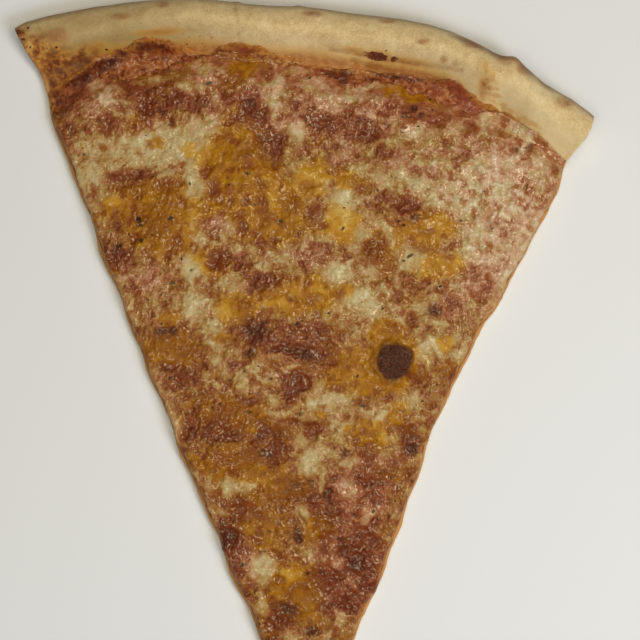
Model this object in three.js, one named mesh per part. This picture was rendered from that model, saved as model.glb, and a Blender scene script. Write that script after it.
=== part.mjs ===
// A large cheese pizza slice, lying on its flat underside: a thin sheet of dough
// that swells into a rolled rim along its outer edge, a film of tomato sauce on
// the sheet, and melted cheese over the sauce. Each of the three is one solid.
//
// Millimetres, +Z up. The tip points to -Y and the rim to +Y. The origin is at
// the middle of the slice's length and width, on the underside. Plan points are
// worked out from the tip, where the two cuts cross, and shifted at the end.

import * as THREE from "three";

// Driving dimensions -------------------------------------------------------
const PIE_RADIUS = 228.6; // an 18 inch pie, cut in eight
const PIE_CENTRE = { x: -32.9, y: 7.9 }; // from the tip: the cuts missed the middle
const LEFT_CUT = -21.9; // degrees from +Y, positive to the right
const RIGHT_CUT = 24.4;
const TIP_BLUNT = 2.5; // where the very tip is worn off

const SHEET = 3.3; // dough under the sauce
const SAUCE = 0.8;
const CHEESE = 2.4;
const CHEESE_EDGE_THICK = 0.7; // where the cheese thins out at the rim
const SEAM = 0.3; // clearance between two layers

const RIM_HEIGHT = 14.5;
const RIM_CREST = 7.5; // the crest's distance in from the outer edge
const RIM_FOOT = 18; // where the rim's inner slope meets the sheet
const RIM_NOSE = 5; // height of the outermost line of the rim
const RIM_HEEL = 5.5; // how far in the rim's rounded underside reaches
const RIM_FACE = 0.8; // upright band along the outermost line

const SAUCE_EDGE = 15.5; // the sauce's distance in from the outer edge
const CHEESE_EDGE = 20.5; // and the cheese's
const SAUCE_INSET = 0.4; // how far each layer stays in from the cuts
const CHEESE_INSET = 0.6;
const CHEESE_LIP = 6; // how far in the cheese thins towards the rim

// The rim's uneven outline: bumps by their angle, width and height.
const RIM_BUMPS = [
  { at: 10.5, wide: 9, out: 3.2 }, // the swollen stretch right of the middle
  { at: 16.8, wide: 2.2, out: 1.8 }, // a small knob
  { at: -3.8, wide: 5, out: -1.4 }, // the hollow left of the middle
  { at: LEFT_CUT, wide: 1.8, out: -1.8 }, // both ends draw in
  { at: RIGHT_CUT, wide: 2.5, out: -1.2 },
];

// The rim's uneven height, in the same form.
const RIM_SWELLS = [
  { at: LEFT_CUT, wide: 11, out: -5.5 }, // the left end is pressed flat
  { at: -8, wide: 7, out: 1.2 },
  { at: 3, wide: 8, out: -1.4 },
  { at: 15.5, wide: 6, out: 1.6 },
  { at: RIGHT_CUT, wide: 5, out: -2.2 },
];

// Where the edges of the sauce and the cheese wander in (plus) or out (minus).
const SAUCE_WANDER = [
  { at: LEFT_CUT, wide: 5.5, out: 7 }, // the left end's dough stayed bare
  { at: -12.6, wide: 3.6, out: -3.2 },
  { at: -8.6, wide: 1.8, out: 2 },
  { at: -5, wide: 2.6, out: -3.2 },
  { at: 5, wide: 7, out: 1.5 },
  { at: 13, wide: 2.5, out: -1.9 },
  { at: 19, wide: 4.5, out: -1.2 },
];
const CHEESE_WANDER = [
  { at: LEFT_CUT, wide: 6, out: 8 },
  { at: -15, wide: 5, out: 4 },
  { at: -6, wide: 4, out: -1.2 },
  { at: 4, wide: 5, out: 1.6 },
  { at: 11, wide: 4, out: 2.4 },
  { at: 20, wide: 5, out: -2.2 },
];

// Domes that gas raised in the cheese: place from the tip, radius and rise.
const DOMES = [
  { x: -18.7, y: 178, radius: 14, rise: 1.7 },
  { x: -43.9, y: 166, radius: 10, rise: 1.1 },
  { x: 31.5, y: 167, radius: 11, rise: 1.2 },
  { x: 27.9, y: 123, radius: 6.5, rise: 1.6 },
  { x: 18, y: 115, radius: 11, rise: 0.9 },
  { x: -10.5, y: 130, radius: 13, rise: 1.2 },
  { x: -46.5, y: 133, radius: 6.5, rise: 1.2 },
  { x: -28, y: 93, radius: 12, rise: 1.2 },
  { x: -8, y: 65, radius: 10, rise: 1.0 },
  { x: 62, y: 178, radius: 10, rise: 0.8 },
];

// Mesh fineness: the spacing of rows and columns over the sheet, and the rows
// over the rim by their distance in from the outer edge.
const SPACING = 5.6;
const RIM_ROWS = [10.5, 9, 7.5, 6, 4.3, 2.7, 1.4, 0.5, 0];

const RADIANS = Math.PI / 180;

// A smooth bump of height 1 at its centre and 0 from `wide` away.
function bell(value, centre, wide) {
  const off = Math.abs(value - centre) / wide;
  return off < 1 ? 0.5 + 0.5 * Math.cos(Math.PI * off) : 0;
}

function smoothstep(low, high, value) {
  const t = Math.min(1, Math.max(0, (value - low) / (high - low)));
  return t * t * (3 - 2 * t);
}

// A rounded rise from 0 to 1, steep at first, as on a ball's side.
function quarterRound(t) {
  const off = 1 - Math.min(1, Math.max(0, t));
  return Math.sqrt(1 - off * off);
}

const bumps = (list, angle) =>
  list.reduce((sum, b) => sum + b.out * bell(angle, b.at, b.wide), 0);

// Plan ---------------------------------------------------------------------

// How far from the tip the outer edge lies, at an angle in degrees from +Y.
function reach(angle) {
  const sin = Math.sin(angle * RADIANS);
  const cos = Math.cos(angle * RADIANS);
  const along = PIE_CENTRE.x * sin + PIE_CENTRE.y * cos;
  const offCentre = PIE_CENTRE.x ** 2 + PIE_CENTRE.y ** 2;
  const circle = along + Math.sqrt(PIE_RADIUS ** 2 - offCentre + along ** 2);
  return circle + bumps(RIM_BUMPS, angle);
}

// How far each cut strays to the right of a straight line. t is 0 at the tip
// and 1 at the outer edge.
const ripple = (t, phase) =>
  0.35 * Math.sin(71 * t + phase) + 0.3 * Math.sin(43 * t - 2 * phase);
const leftStray = (t) =>
  -1.6 * bell(t, 0.5, 0.5) + 1.8 * bell(t, 0.94, 0.07) + ripple(t, 0);
const rightStray = (t) => -4.4 * bell(t, 0.55, 0.32) + ripple(t, 2);

// A plan point, with u from 0 on the left cut to 1 on the right one, at a
// distance from the tip, drawn in from both cuts by inset.
function plan(u, distance, inset) {
  const angle = THREE.MathUtils.lerp(LEFT_CUT, RIGHT_CUT, u);
  const sin = Math.sin(angle * RADIANS);
  const cos = Math.cos(angle * RADIANS);
  const t = distance / reach(angle);
  const stray = THREE.MathUtils.lerp(leftStray(t), rightStray(t), u);
  const aside = stray + inset * (1 - 2 * u);
  return {
    x: distance * sin + aside * cos,
    y: distance * cos - aside * sin,
    angle,
    inward: reach(angle) - distance, // distance in from the outer edge
  };
}

// The edges of the sauce and the cheese, in from the outer edge.
const sauceEdge = (angle) => SAUCE_EDGE + bumps(SAUCE_WANDER, angle);
const cheeseEdge = (angle) => CHEESE_EDGE + bumps(CHEESE_WANDER, angle);

// Where the rows of plan points lie, tip first: each is a function from an
// angle to a distance in from the outer edge. The layers share these rows, so
// their facets are parallel and the seams between them keep one width.
function rowsBetween(from, to, count) {
  return Array.from(
    { length: count },
    (_, k) => (angle) =>
      THREE.MathUtils.lerp(from(angle), to(angle), (k + 1) / count),
  );
}

const atTip = (angle) => reach(angle) - TIP_BLUNT;
const atSlope = () => RIM_ROWS[0];
const sheetRows = Math.round((PIE_RADIUS - CHEESE_EDGE) / SPACING);

const CHEESE_ROWS = [atTip, ...rowsBetween(atTip, cheeseEdge, sheetRows)];
const SAUCE_ROWS = [...CHEESE_ROWS, ...rowsBetween(cheeseEdge, sauceEdge, 2)];
const DOUGH_ROWS = [
  ...SAUCE_ROWS,
  ...rowsBetween(sauceEdge, atSlope, 3),
  ...RIM_ROWS.slice(1).map((inward) => () => inward),
];

// The plan points of a layer, row by row from cut to cut. A wider row gets
// more points. The inset draws the layer in from the cuts and the tip.
function planRows(inwardRows, inset) {
  const middle = (LEFT_CUT + RIGHT_CUT) / 2;
  const spread = (RIGHT_CUT - LEFT_CUT) * RADIANS;
  return inwardRows.map((inwardAt, k) => {
    const width = (reach(middle) - inwardAt(middle)) * spread;
    const columns = Math.max(1, Math.round(width / SPACING));
    const tipInset = k === 0 ? 2 * inset : 0;
    return Array.from({ length: columns + 1 }, (_, i) => {
      const u = i / columns;
      const angle = THREE.MathUtils.lerp(LEFT_CUT, RIGHT_CUT, u);
      return plan(u, reach(angle) - inwardAt(angle) + tipInset, inset);
    });
  });
}

// Heights ------------------------------------------------------------------

function doughTop(p) {
  const sheet = SHEET + 0.25 * Math.sin(0.07 * p.x + 1) * Math.cos(0.05 * p.y);
  const crest = RIM_HEIGHT + bumps(RIM_SWELLS, p.angle);
  const nose = RIM_NOSE + RIM_FACE / 2;
  if (p.inward < RIM_CREST) {
    return nose + (crest - nose) * quarterRound(p.inward / RIM_CREST);
  }
  const slope = 1 - smoothstep(RIM_CREST, RIM_FOOT, p.inward);
  return sheet + (crest - sheet) * slope;
}

function doughBottom(p) {
  const nose = RIM_NOSE - RIM_FACE / 2;
  return nose * (1 - quarterRound(p.inward / RIM_HEEL));
}

const sauceBottom = (p) => doughTop(p) + SEAM;
const sauceTop = (p) => sauceBottom(p) + SAUCE;
const cheeseBottom = (p) => sauceTop(p) + SEAM;

function cheeseTop(p) {
  const lip = smoothstep(0, CHEESE_LIP, p.inward - cheeseEdge(p.angle));
  const swell = 0.35 * Math.sin(0.11 * p.x + 0.6) * Math.sin(0.09 * p.y);
  const domes = DOMES.reduce((sum, d) => {
    const away = Math.hypot(p.x - d.x, p.y - d.y);
    return sum + d.rise * bell(away, 0, d.radius);
  }, 0);
  const full = CHEESE + swell + domes;
  return cheeseBottom(p) + THREE.MathUtils.lerp(CHEESE_EDGE_THICK, full, lip);
}

// Solids -------------------------------------------------------------------

// Triangles between two neighbouring rows of points, the outer row second,
// facing up. The rows may hold different numbers of points.
function zip(inner, outer) {
  const faces = [];
  let i = 0;
  let j = 0;
  while (i < inner.length - 1 || j < outer.length - 1) {
    const nextInner = (i + 1) / (inner.length - 1);
    const nextOuter = (j + 1) / (outer.length - 1);
    if (j === outer.length - 1 || (i < inner.length - 1 && nextInner < nextOuter)) {
      faces.push([inner[i], inner[i + 1], outer[j]]);
      i++;
    } else {
      faces.push([inner[i], outer[j + 1], outer[j]]);
      j++;
    }
  }
  return faces;
}

// The points round a layer's edge, anticlockwise from above.
function rimOf(layer) {
  const first = layer[0];
  const last = layer[layer.length - 1];
  const between = layer.slice(1, -1);
  return [
    ...first,
    ...between.map((points) => points[points.length - 1]),
    ...[...last].reverse(),
    ...between.map((points) => points[0]).reverse(),
  ];
}

// A closed solid over rows of plan points, between two height functions.
function slab(name, look, rows, top, bottom) {
  const positions = [];
  const layerAt = (height) =>
    rows.map((points) =>
      points.map((p) => {
        positions.push(p.x, p.y, height(p));
        return positions.length / 3 - 1;
      }),
    );
  const upper = layerAt(top);
  const lower = layerAt(bottom);
  const faces = [];
  for (let k = 1; k < rows.length; k++) {
    faces.push(...zip(upper[k - 1], upper[k]));
    faces.push(...zip(lower[k - 1], lower[k]).map(([a, b, c]) => [a, c, b]));
  }
  const above = rimOf(upper);
  const below = rimOf(lower);
  above.forEach((corner, k) => {
    const next = (k + 1) % above.length;
    faces.push([below[k], below[next], above[next]]);
    faces.push([below[k], above[next], corner]);
  });

  const geometry = new THREE.BufferGeometry();
  geometry.setAttribute(
    "position",
    new THREE.Float32BufferAttribute(positions, 3),
  );
  geometry.setIndex(faces.flat());
  geometry.computeVertexNormals();
  const mesh = new THREE.Mesh(geometry, new THREE.MeshStandardMaterial(look));
  mesh.name = name;
  return mesh;
}

function makeDough() {
  const look = { color: 0xd9c08a, roughness: 0.75, metalness: 0 };
  return slab("dough", look, planRows(DOUGH_ROWS, 0), doughTop, doughBottom);
}

function makeSauce() {
  const look = { color: 0x8f3316, roughness: 0.4, metalness: 0 };
  const rows = planRows(SAUCE_ROWS, SAUCE_INSET);
  return slab("sauce", look, rows, sauceTop, sauceBottom);
}

function makeCheese() {
  const look = { color: 0xcf9a52, roughness: 0.35, metalness: 0 };
  const rows = planRows(CHEESE_ROWS, CHEESE_INSET);
  return slab("cheese", look, rows, cheeseTop, cheeseBottom);
}

const slice = new THREE.Group();
slice.add(makeDough(), makeSauce(), makeCheese());

// The origin goes to the middle of the box round the slice. The underside is
// already at Z 0.
const box = new THREE.Box3().setFromObject(slice);
const middle = box.getCenter(new THREE.Vector3());
slice.position.set(-middle.x, -middle.y, 0);

export default slice;
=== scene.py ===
# %% [markdown]
# # A slice of cheese pizza
#
# The frame holds three plain solids that lie on each other: the dough with its
# rolled rim, a thin layer of tomato sauce, and the cheese. They have the right
# places and sizes, but large flat facets and one flat colour each. This lesson
# makes each one again as a fine mesh in the same place, with the lumps,
# blisters, folds and browning that an oven gives it.
#
# Lengths in the working code are millimetres, because that is the scale at
# which dough and cheese vary. They become metres only when a mesh is made.

# %% Load the frame
import math

import bpy
import numpy as np
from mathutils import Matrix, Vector
from mathutils.bvhtree import BVHTree


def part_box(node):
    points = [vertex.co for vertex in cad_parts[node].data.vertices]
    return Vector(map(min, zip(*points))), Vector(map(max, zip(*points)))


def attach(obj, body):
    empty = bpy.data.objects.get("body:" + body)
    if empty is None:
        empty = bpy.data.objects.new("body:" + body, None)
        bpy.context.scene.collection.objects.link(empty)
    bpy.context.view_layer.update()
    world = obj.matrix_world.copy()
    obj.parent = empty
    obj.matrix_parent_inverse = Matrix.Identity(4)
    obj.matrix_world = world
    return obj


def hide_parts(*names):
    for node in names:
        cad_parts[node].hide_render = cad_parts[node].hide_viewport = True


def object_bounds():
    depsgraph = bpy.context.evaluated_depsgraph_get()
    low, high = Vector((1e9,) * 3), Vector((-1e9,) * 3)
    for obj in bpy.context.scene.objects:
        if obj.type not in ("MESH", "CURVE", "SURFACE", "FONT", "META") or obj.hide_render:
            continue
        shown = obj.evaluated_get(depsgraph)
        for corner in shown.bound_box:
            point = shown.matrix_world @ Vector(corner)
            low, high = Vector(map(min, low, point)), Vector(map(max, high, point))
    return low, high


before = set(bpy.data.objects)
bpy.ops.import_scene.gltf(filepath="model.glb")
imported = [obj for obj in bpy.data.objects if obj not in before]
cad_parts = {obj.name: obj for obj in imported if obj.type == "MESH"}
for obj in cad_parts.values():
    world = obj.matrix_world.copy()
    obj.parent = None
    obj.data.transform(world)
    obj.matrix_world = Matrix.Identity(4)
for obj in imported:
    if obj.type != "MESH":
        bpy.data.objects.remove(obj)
cad_low, cad_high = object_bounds()
MM = 0.001
print("nodes in the frame:", sorted(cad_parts))
print("size in mm:", [round((b - a) / MM, 1) for a, b in zip(cad_low, cad_high)])

# %% [markdown]
# ## Where the solids end
#
# A slice is cut by hand, so its outline is no formula. One could copy its
# points, but a ray dropped from above says just as well whether a place is over
# a solid, and halving the gap between a place inside and a place outside finds
# the edge. All of it is measured from the tip, where the two cuts cross.

# %% Drop rays on the solids
depsgraph = bpy.context.evaluated_depsgraph_get()
trees = {name: BVHTree.FromObject(node, depsgraph) for name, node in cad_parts.items()}
DOWN = Vector((0, 0, -1))
ABOVE = 0.1  # metres: rays start here, higher than any piece


def height_over(name, x, y):
    """The height of a solid's upper side over a place, or None beside it."""
    hit = trees[name].ray_cast(Vector((x * MM, y * MM, ABOVE)), DOWN)[0]
    return None if hit is None else hit.z / MM


TIP_WORN = 2.3  # the cuts would cross this far beyond the worn tip
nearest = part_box("dough")[0].y
tip_ends = [v.co.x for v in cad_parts["dough"].data.vertices if v.co.y < nearest + MM]
TIP_X = sum(tip_ends) / len(tip_ends) / MM
TIP_Y = nearest / MM - TIP_WORN
print("the cuts cross at", round(TIP_X, 1), round(TIP_Y, 1))


def place(angle, distance):
    """A plan point, by its angle in degrees to the right of +Y and its distance from the tip."""
    turn = np.radians(angle)
    return TIP_X + distance * np.sin(turn), TIP_Y + distance * np.cos(turn)


# %% Find the cuts and the outer edge
LEFT_SEARCH = (-12, -33)  # angles surely inside and outside the left cut
RIGHT_SEARCH = (12, 35)
EDGE_SEARCH = (195, 260)  # distances surely inside and outside the outer edge
NEAR_TIP = 5  # the cuts are followed from here
INSET = 0.15  # the outer edge is looked for this many degrees within the cuts
LAST_STRETCH = 60  # mm of each cut, next to the rim, that say where the rim ends
EDGE_STEPS = 240  # places at which the outer edge is looked for


def last_over(name, place_at, inside, outside):
    """The value nearest to outside at which place_at(value) is still over the solid."""
    steps = np.linspace(outside, inside, 30)
    over = (k for k, value in enumerate(steps) if height_over(name, *place_at(value)) is not None)
    first = next(over, len(steps) - 1)
    inside, outside = steps[first], steps[max(first - 1, 0)]
    for _ in range(10):
        middle = (inside + outside) / 2
        if height_over(name, *place_at(middle)) is None:
            outside = middle
        else:
            inside = middle
    return inside


class Outline:
    """A solid's outline: its cuts by distance from the tip, its outer edge by angle.
    The cuts are followed as far as left_end and right_end, in mm from the tip."""

    def __init__(self, name, left_end, right_end, rounding):
        self.left_at = np.arange(NEAR_TIP, left_end, 1.0)
        self.left = [last_over(name, lambda a: place(a, d), *LEFT_SEARCH) for d in self.left_at]
        self.right_at = np.arange(NEAR_TIP, right_end, 1.0)
        self.right = [last_over(name, lambda a: place(a, d), *RIGHT_SEARCH) for d in self.right_at]
        first = max(self.left[-LAST_STRETCH:]) + INSET
        last = min(self.right[-LAST_STRETCH:]) - INSET
        self.angles = np.linspace(first, last, EDGE_STEPS)
        edge = [last_over(name, lambda d: place(a, d), *EDGE_SEARCH) for a in self.angles]
        blur = np.hanning(2 * rounding + 3)[1:-1] / np.hanning(2 * rounding + 3).sum()
        padded = np.pad(edge, rounding, mode="reflect", reflect_type="odd")
        self.edge = np.convolve(padded, blur, mode="valid")
        self.slopes = np.gradient(self.edge, self.angles)[[3, -4]]

    def left_cut(self, distance):
        """The angle of the left cut, at a distance from the tip."""
        return np.interp(distance, self.left_at, self.left)

    def right_cut(self, distance):
        """The angle of the right cut, at a distance from the tip."""
        return np.interp(distance, self.right_at, self.right)

    def reach(self, angle):
        """The outer edge's distance from the tip, carried straight on past the cuts."""
        beyond = angle - np.clip(angle, self.angles[0], self.angles[-1])
        slope = np.where(beyond < 0, *self.slopes)
        return np.interp(angle, self.angles, self.edge) + beyond * slope


slice_outline = Outline("dough", 243.5, 217.5, rounding=2)
sauce_outline = Outline("sauce", 221, 202, rounding=8)
cheese_outline = Outline("cheese", 217, 197.5, rounding=8)
LEFT, RIGHT = slice_outline.angles[0], slice_outline.angles[-1]
print("cuts at", round(LEFT, 1), "and", round(RIGHT, 1), "degrees")

# %% [markdown]
# ## Noise to shape and colour with
#
# Food looks real when it varies at several sizes at once. Blender's textures do
# that in a material, but the relief here is real geometry, so the same kinds of
# noise are wanted on plain arrays: rolling hills, hills on hills, and scattered
# cells like curds of cheese. Every one has a seed, so each run is the same.

# %% Noise on arrays
LATTICE = 256


def ease(low, high, value):
    """0 up to low, 1 from high, and a smooth ramp between them."""
    t = np.clip((value - low) / (high - low), 0, 1)
    return t * t * (3 - 2 * t)


def hills(x, y, size, seed):
    """Smooth hills and hollows about size mm apart, from about -1 to 1."""
    turns = np.random.default_rng(seed).uniform(0, 2 * np.pi, (LATTICE, LATTICE))
    x, y = x / size, y / size
    i, j = np.floor(x).astype(int), np.floor(y).astype(int)
    u, v = x - i, y - j

    def slope_from(di, dj):
        turn = turns[(i + di) % LATTICE, (j + dj) % LATTICE]
        return np.cos(turn) * (u - di) + np.sin(turn) * (v - dj)

    fade_u, fade_v = (t ** 3 * (t * (6 * t - 15) + 10) for t in (u, v))
    near = slope_from(0, 0) * (1 - fade_u) + slope_from(1, 0) * fade_u
    far = slope_from(0, 1) * (1 - fade_u) + slope_from(1, 1) * fade_u
    return 1.5 * (near * (1 - fade_v) + far * fade_v)


def rough(x, y, size, seed, octaves=4):
    """Hills on hills, each set half the size and height of the one before."""
    return sum(hills(x, y, size / 2 ** k, seed + k) / 2 ** k for k in range(octaves))


def cells(x, y, size, seed):
    """Scattered cells about size mm across: the distances to the nearest centre and
    to the next one, in cells, and a number from 0 to 1 that is the cell's own."""
    spots = np.random.default_rng(seed).uniform(0, 1, (3, LATTICE, LATTICE))
    x, y = x / size, y / size
    i, j = np.floor(x).astype(int), np.floor(y).astype(int)
    nearest, second, own = np.full(x.shape, 9.0), np.full(x.shape, 9.0), np.zeros(x.shape)
    for di in (-1, 0, 1):
        for dj in (-1, 0, 1):
            across, along, number = spots[:, (i + di) % LATTICE, (j + dj) % LATTICE]
            away = np.hypot(i + di + across - x, j + dj + along - y)
            closer = away < nearest
            second = np.where(closer, nearest, np.minimum(second, away))
            own = np.where(closer, number, own)
            nearest = np.minimum(nearest, away)
    return nearest, second, own


# %% Marks put down one by one
def blots(x, y, marks, soft=0.35):
    """A mask of oval marks, each (x, y, half width, half height, turn in degrees)."""
    mask = np.zeros(x.shape)
    for across, along, wide, tall, *turn in marks:
        angle = math.radians(turn[0] if turn else 0)
        u = (x - across) * math.cos(angle) + (y - along) * math.sin(angle)
        v = (y - along) * math.cos(angle) - (x - across) * math.sin(angle)
        mask = np.maximum(mask, ease(1 + soft, 1 - soft, np.hypot(u / wide, v / tall)))
    return mask


def from_line(x, y, points):
    """The distance in mm to a line through some points."""
    nearest = np.full(x.shape, 1e9)
    for (ax, ay), (bx, by) in zip(points, points[1:]):
        run_x, run_y = bx - ax, by - ay
        t = np.clip(((x - ax) * run_x + (y - ay) * run_y) / (run_x ** 2 + run_y ** 2), 0, 1)
        nearest = np.minimum(nearest, np.hypot(x - ax - t * run_x, y - ay - t * run_y))
    return nearest


def groove(distance, wide):
    """1 on a line and nothing a few times wide mm from it."""
    return np.exp(-(distance / wide) ** 2)


# %% [markdown]
# ## Rows of points
#
# A wedge is narrow at the tip and wide at the rim, so a square grid would crowd
# the tip and starve the rim. Rows that get more points as they get wider keep
# the points evenly apart. Neighbouring rows with different numbers of points
# are joined by triangles, always taking the next point that lags behind.

# %% Plan points in rows
OTHER_CUT = 300  # further than either cut is long, mm


def shares_of(width, fine, coarse):
    """Points across a row as shares of its width: fine mm apart near the two cuts,
    where the side of the slice shows, and coarse mm apart between them."""
    s = np.linspace(0, width, 800)
    gap = fine + (coarse - fine) * ease(2, 6, np.minimum(s, width - s))
    count = np.concatenate([[0], np.cumsum(np.diff(s) / gap[1:])])
    steps = max(2, round(count[-1]))
    return np.interp(np.linspace(0, count[-1], steps + 1), count, s) / width


class Plan:
    """Plan points in rows from cut to cut, tip first. Each line is a function from
    an angle to a distance in from the outer edge. Lines with a finish of True get
    fine spacing all the way across. fray and nibbled say how far, in mm, the edge
    strays out along the rim and in along the cuts. The larger grip is, the less of
    fray reaches the lines further in."""

    def __init__(self, outline, lines, fine, coarse, fray, nibbled, grip=1):
        parts, self.rows, count = [], [], 0
        for line, finish in lines:
            width = np.radians(RIGHT - LEFT) * (outline.reach(0) - line(0))
            u = shares_of(width, fine, fine if finish else coarse)
            nominal = LEFT + (RIGHT - LEFT) * u
            distance = outline.reach(nominal) - line(nominal)
            distance = distance + fray(nominal) * (distance / outline.reach(nominal)) ** grip
            left = outline.left_cut(distance) + np.degrees(nibbled(distance, -1) / distance)
            right = outline.right_cut(distance) - np.degrees(nibbled(distance, 1) / distance)
            angle = left + (right - left) * u
            x, y = place(angle, distance)
            from_left = np.radians(angle - left) * distance
            from_right = np.radians(right - angle) * distance
            parts.append((x, y, angle, distance, from_left, from_right, line(nominal), u))
            self.rows.append(list(range(count, count + len(u))))
            count += len(u)
        joined = np.concatenate(parts, axis=1)
        self.x, self.y, self.angle, self.distance = joined[:4]
        from_left, from_right, self.from_edge, self.share = joined[4:]
        self.inward = slice_outline.reach(self.angle) - self.distance
        self.from_cut = np.minimum(from_left, from_right)
        self.side = np.where(from_left < from_right, -1, 1)

    def along_cuts(self, source):
        """How far from the tip some of the points are. The right cut's get a number
        of their own on top, so that they take their noise from another place."""
        return self.distance[source] + OTHER_CUT * (self.side[source] > 0)

    def perimeter(self):
        """The points round the edge, anticlockwise from above."""
        first, *between, last = self.rows
        return first + [r[-1] for r in between] + last[::-1] + [r[0] for r in between[::-1]]


def at(inward):
    """A line at the same distance in from the outer edge all the way."""
    return lambda angle: inward + 0 * angle


def lines_between(start, stop, count, finish=True):
    """Lines at even steps after start, up to and with stop."""
    shares = np.arange(1, count + 1) / count
    return [(lambda a, t=t: start(a) * (1 - t) + stop(a) * t, finish) for t in shares]


def zipped(inner, outer, share):
    """Triangles between two neighbouring rows, facing up, the outer row second."""
    faces, i, j = [], 0, 0
    ends_in, ends_out = len(inner) - 1, len(outer) - 1
    while i < ends_in or j < ends_out:
        if j == ends_out or (i < ends_in and share[inner[i + 1]] < share[outer[j + 1]]):
            faces.append((inner[i], inner[i + 1], outer[j]))
            i += 1
        else:
            faces.append((inner[i], outer[j + 1], outer[j]))
            j += 1
    return faces


# %% Turn a plan into a closed mesh
CLIMBING = 60  # rows near the rim of which the underside keeps only some points:
KEPT_EVERY = 12  # one in so many
FILLED = 0.97  # how much of a square the flat layout fills
MARGIN = 0.01


class Solid:
    """A closed mesh over a plan: an upper side, walls round it and an underside.
    source gives each point's place in the plan, depth how far down a wall it is
    from 0 to 1, and outward the level direction away from the slice. levels counts
    the rings of points down the walls. The rows up to plain_rows are thinned out on
    the underside, where nothing shows."""

    def __init__(self, plan, top, bottom, levels, plain_rows=0):
        n, ring = len(plan.x), np.array(plan.perimeter())
        along = np.stack([plan.x, plan.y], 1)[ring]
        along = np.roll(along, -2, 0) - np.roll(along, 2, 0)
        ring_out = np.stack([along[:, 1], -along[:, 0]], 1) / np.linalg.norm(along, axis=1)[:, None]
        rings = [ring] + [n + np.arange(len(ring)) + k * len(ring) for k in range(levels)]
        under = dict(zip(ring.tolist(), rings[-1].tolist()))
        self.wall_end = n + levels * len(ring)
        under_rows = [self.kept_beneath(k, row, plain_rows) for k, row in enumerate(plan.rows)]
        hidden = [i for row in under_rows for i in row if i not in under]
        under.update(zip(hidden, range(self.wall_end, self.wall_end + len(hidden))))
        self.source = np.concatenate([np.arange(n), np.tile(ring, levels), np.array(hidden, int)])
        wall_depth = np.repeat(np.arange(1, levels + 1) / levels, len(ring))
        self.depth = np.concatenate([np.zeros(n), wall_depth, np.ones(len(hidden))])
        self.outward = np.zeros((len(self.source), 2))
        self.outward[ring] = ring_out
        self.outward[n:self.wall_end] = np.tile(ring_out, (levels, 1))
        share = plan.share[self.source]
        self.shell = [f for a, b in zip(plan.rows, plan.rows[1:]) for f in zipped(a, b, share)]
        for above, below in zip(rings, rings[1:]):
            a, b = above.tolist(), below.tolist()
            self.shell += list(zip(b, b[1:] + b[:1], a[1:] + a[:1], a))
        under_rows = [[under[i] for i in row] for row in under_rows]
        self.floor = [f[::-1] for a, b in zip(under_rows, under_rows[1:]) for f in zipped(a, b, share)]
        self.plan_xy = np.stack([plan.x, plan.y], 1)[self.source]
        self.top = top[self.source]
        self.z = self.top * (1 - self.depth) + bottom[self.source] * self.depth
        self.push = np.zeros(len(self.source))

    def kept_beneath(self, k, row, plain_rows):
        """The points of a row that the underside keeps. Two ends are enough where it is
        flat, and a few points more where it climbs towards the rim."""
        if k == 0 or k > plain_rows:
            return row
        climbs = k > plain_rows - CLIMBING
        return [*row[:-1:KEPT_EVERY], row[-1]] if climbs else [row[0], row[-1]]

    def make(self, name, masks, underside_beside=False):
        """The Blender object, with its masks as attributes and a flat layout of its
        surface: the walls fold out round the upper side like a paper model. The
        underside lies beside it at the same scale, or small where it is never seen."""
        xy = self.plan_xy + self.outward * self.push[:, None]
        mesh = bpy.data.meshes.new(name)
        mesh.from_pydata(np.column_stack([xy, self.z]) * MM, [], self.shell + self.floor)
        for mask, values in masks.items():
            layer = mesh.attributes.new(mask, "FLOAT", "POINT")
            layer.data.foreach_set("value", values.astype(np.float32))
        drop = np.maximum(self.top - self.z, 0) * (self.depth > 0)
        flat = self.plan_xy + self.outward * drop[:, None]
        spread = np.ptp(flat, 0)
        scale = FILLED / max(spread[0] * (2 if underside_beside else 1.05), spread[1])
        unfolded = (flat - flat.min(0)) * scale + MARGIN
        beneath = (self.plan_xy - flat.min(0)) * scale * (1 if underside_beside else 0.03)
        beneath += (2 * MARGIN + spread[0] * scale, MARGIN)
        corners = np.zeros(len(mesh.loops), int)
        mesh.loops.foreach_get("vertex_index", corners)
        first_floor_corner = sum(len(f) for f in self.shell)
        shell_corners, floor_corners = np.split(corners, [first_floor_corner])
        layout = np.concatenate([unfolded[shell_corners], beneath[floor_corners]])
        mesh.uv_layers.new(name="OFBake").data.foreach_set("uv", layout.astype(np.float32).ravel())
        mesh.shade_smooth()
        piece = bpy.data.objects.new(name, mesh)
        bpy.context.scene.collection.objects.link(piece)
        triangles = sum(len(f) - 2 for f in self.shell + self.floor)
        print(name, len(mesh.vertices), "points", triangles, "triangles")
        return piece


# %% [markdown]
# ## Material expressions
#
# A material is a sum of masks and colours. Written as nodes by hand it is long
# and hard to read, so a small class wraps a socket, and ordinary arithmetic on
# it adds the Math nodes. Everything else comes from one method that adds any
# node with its settings and inputs.

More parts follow.
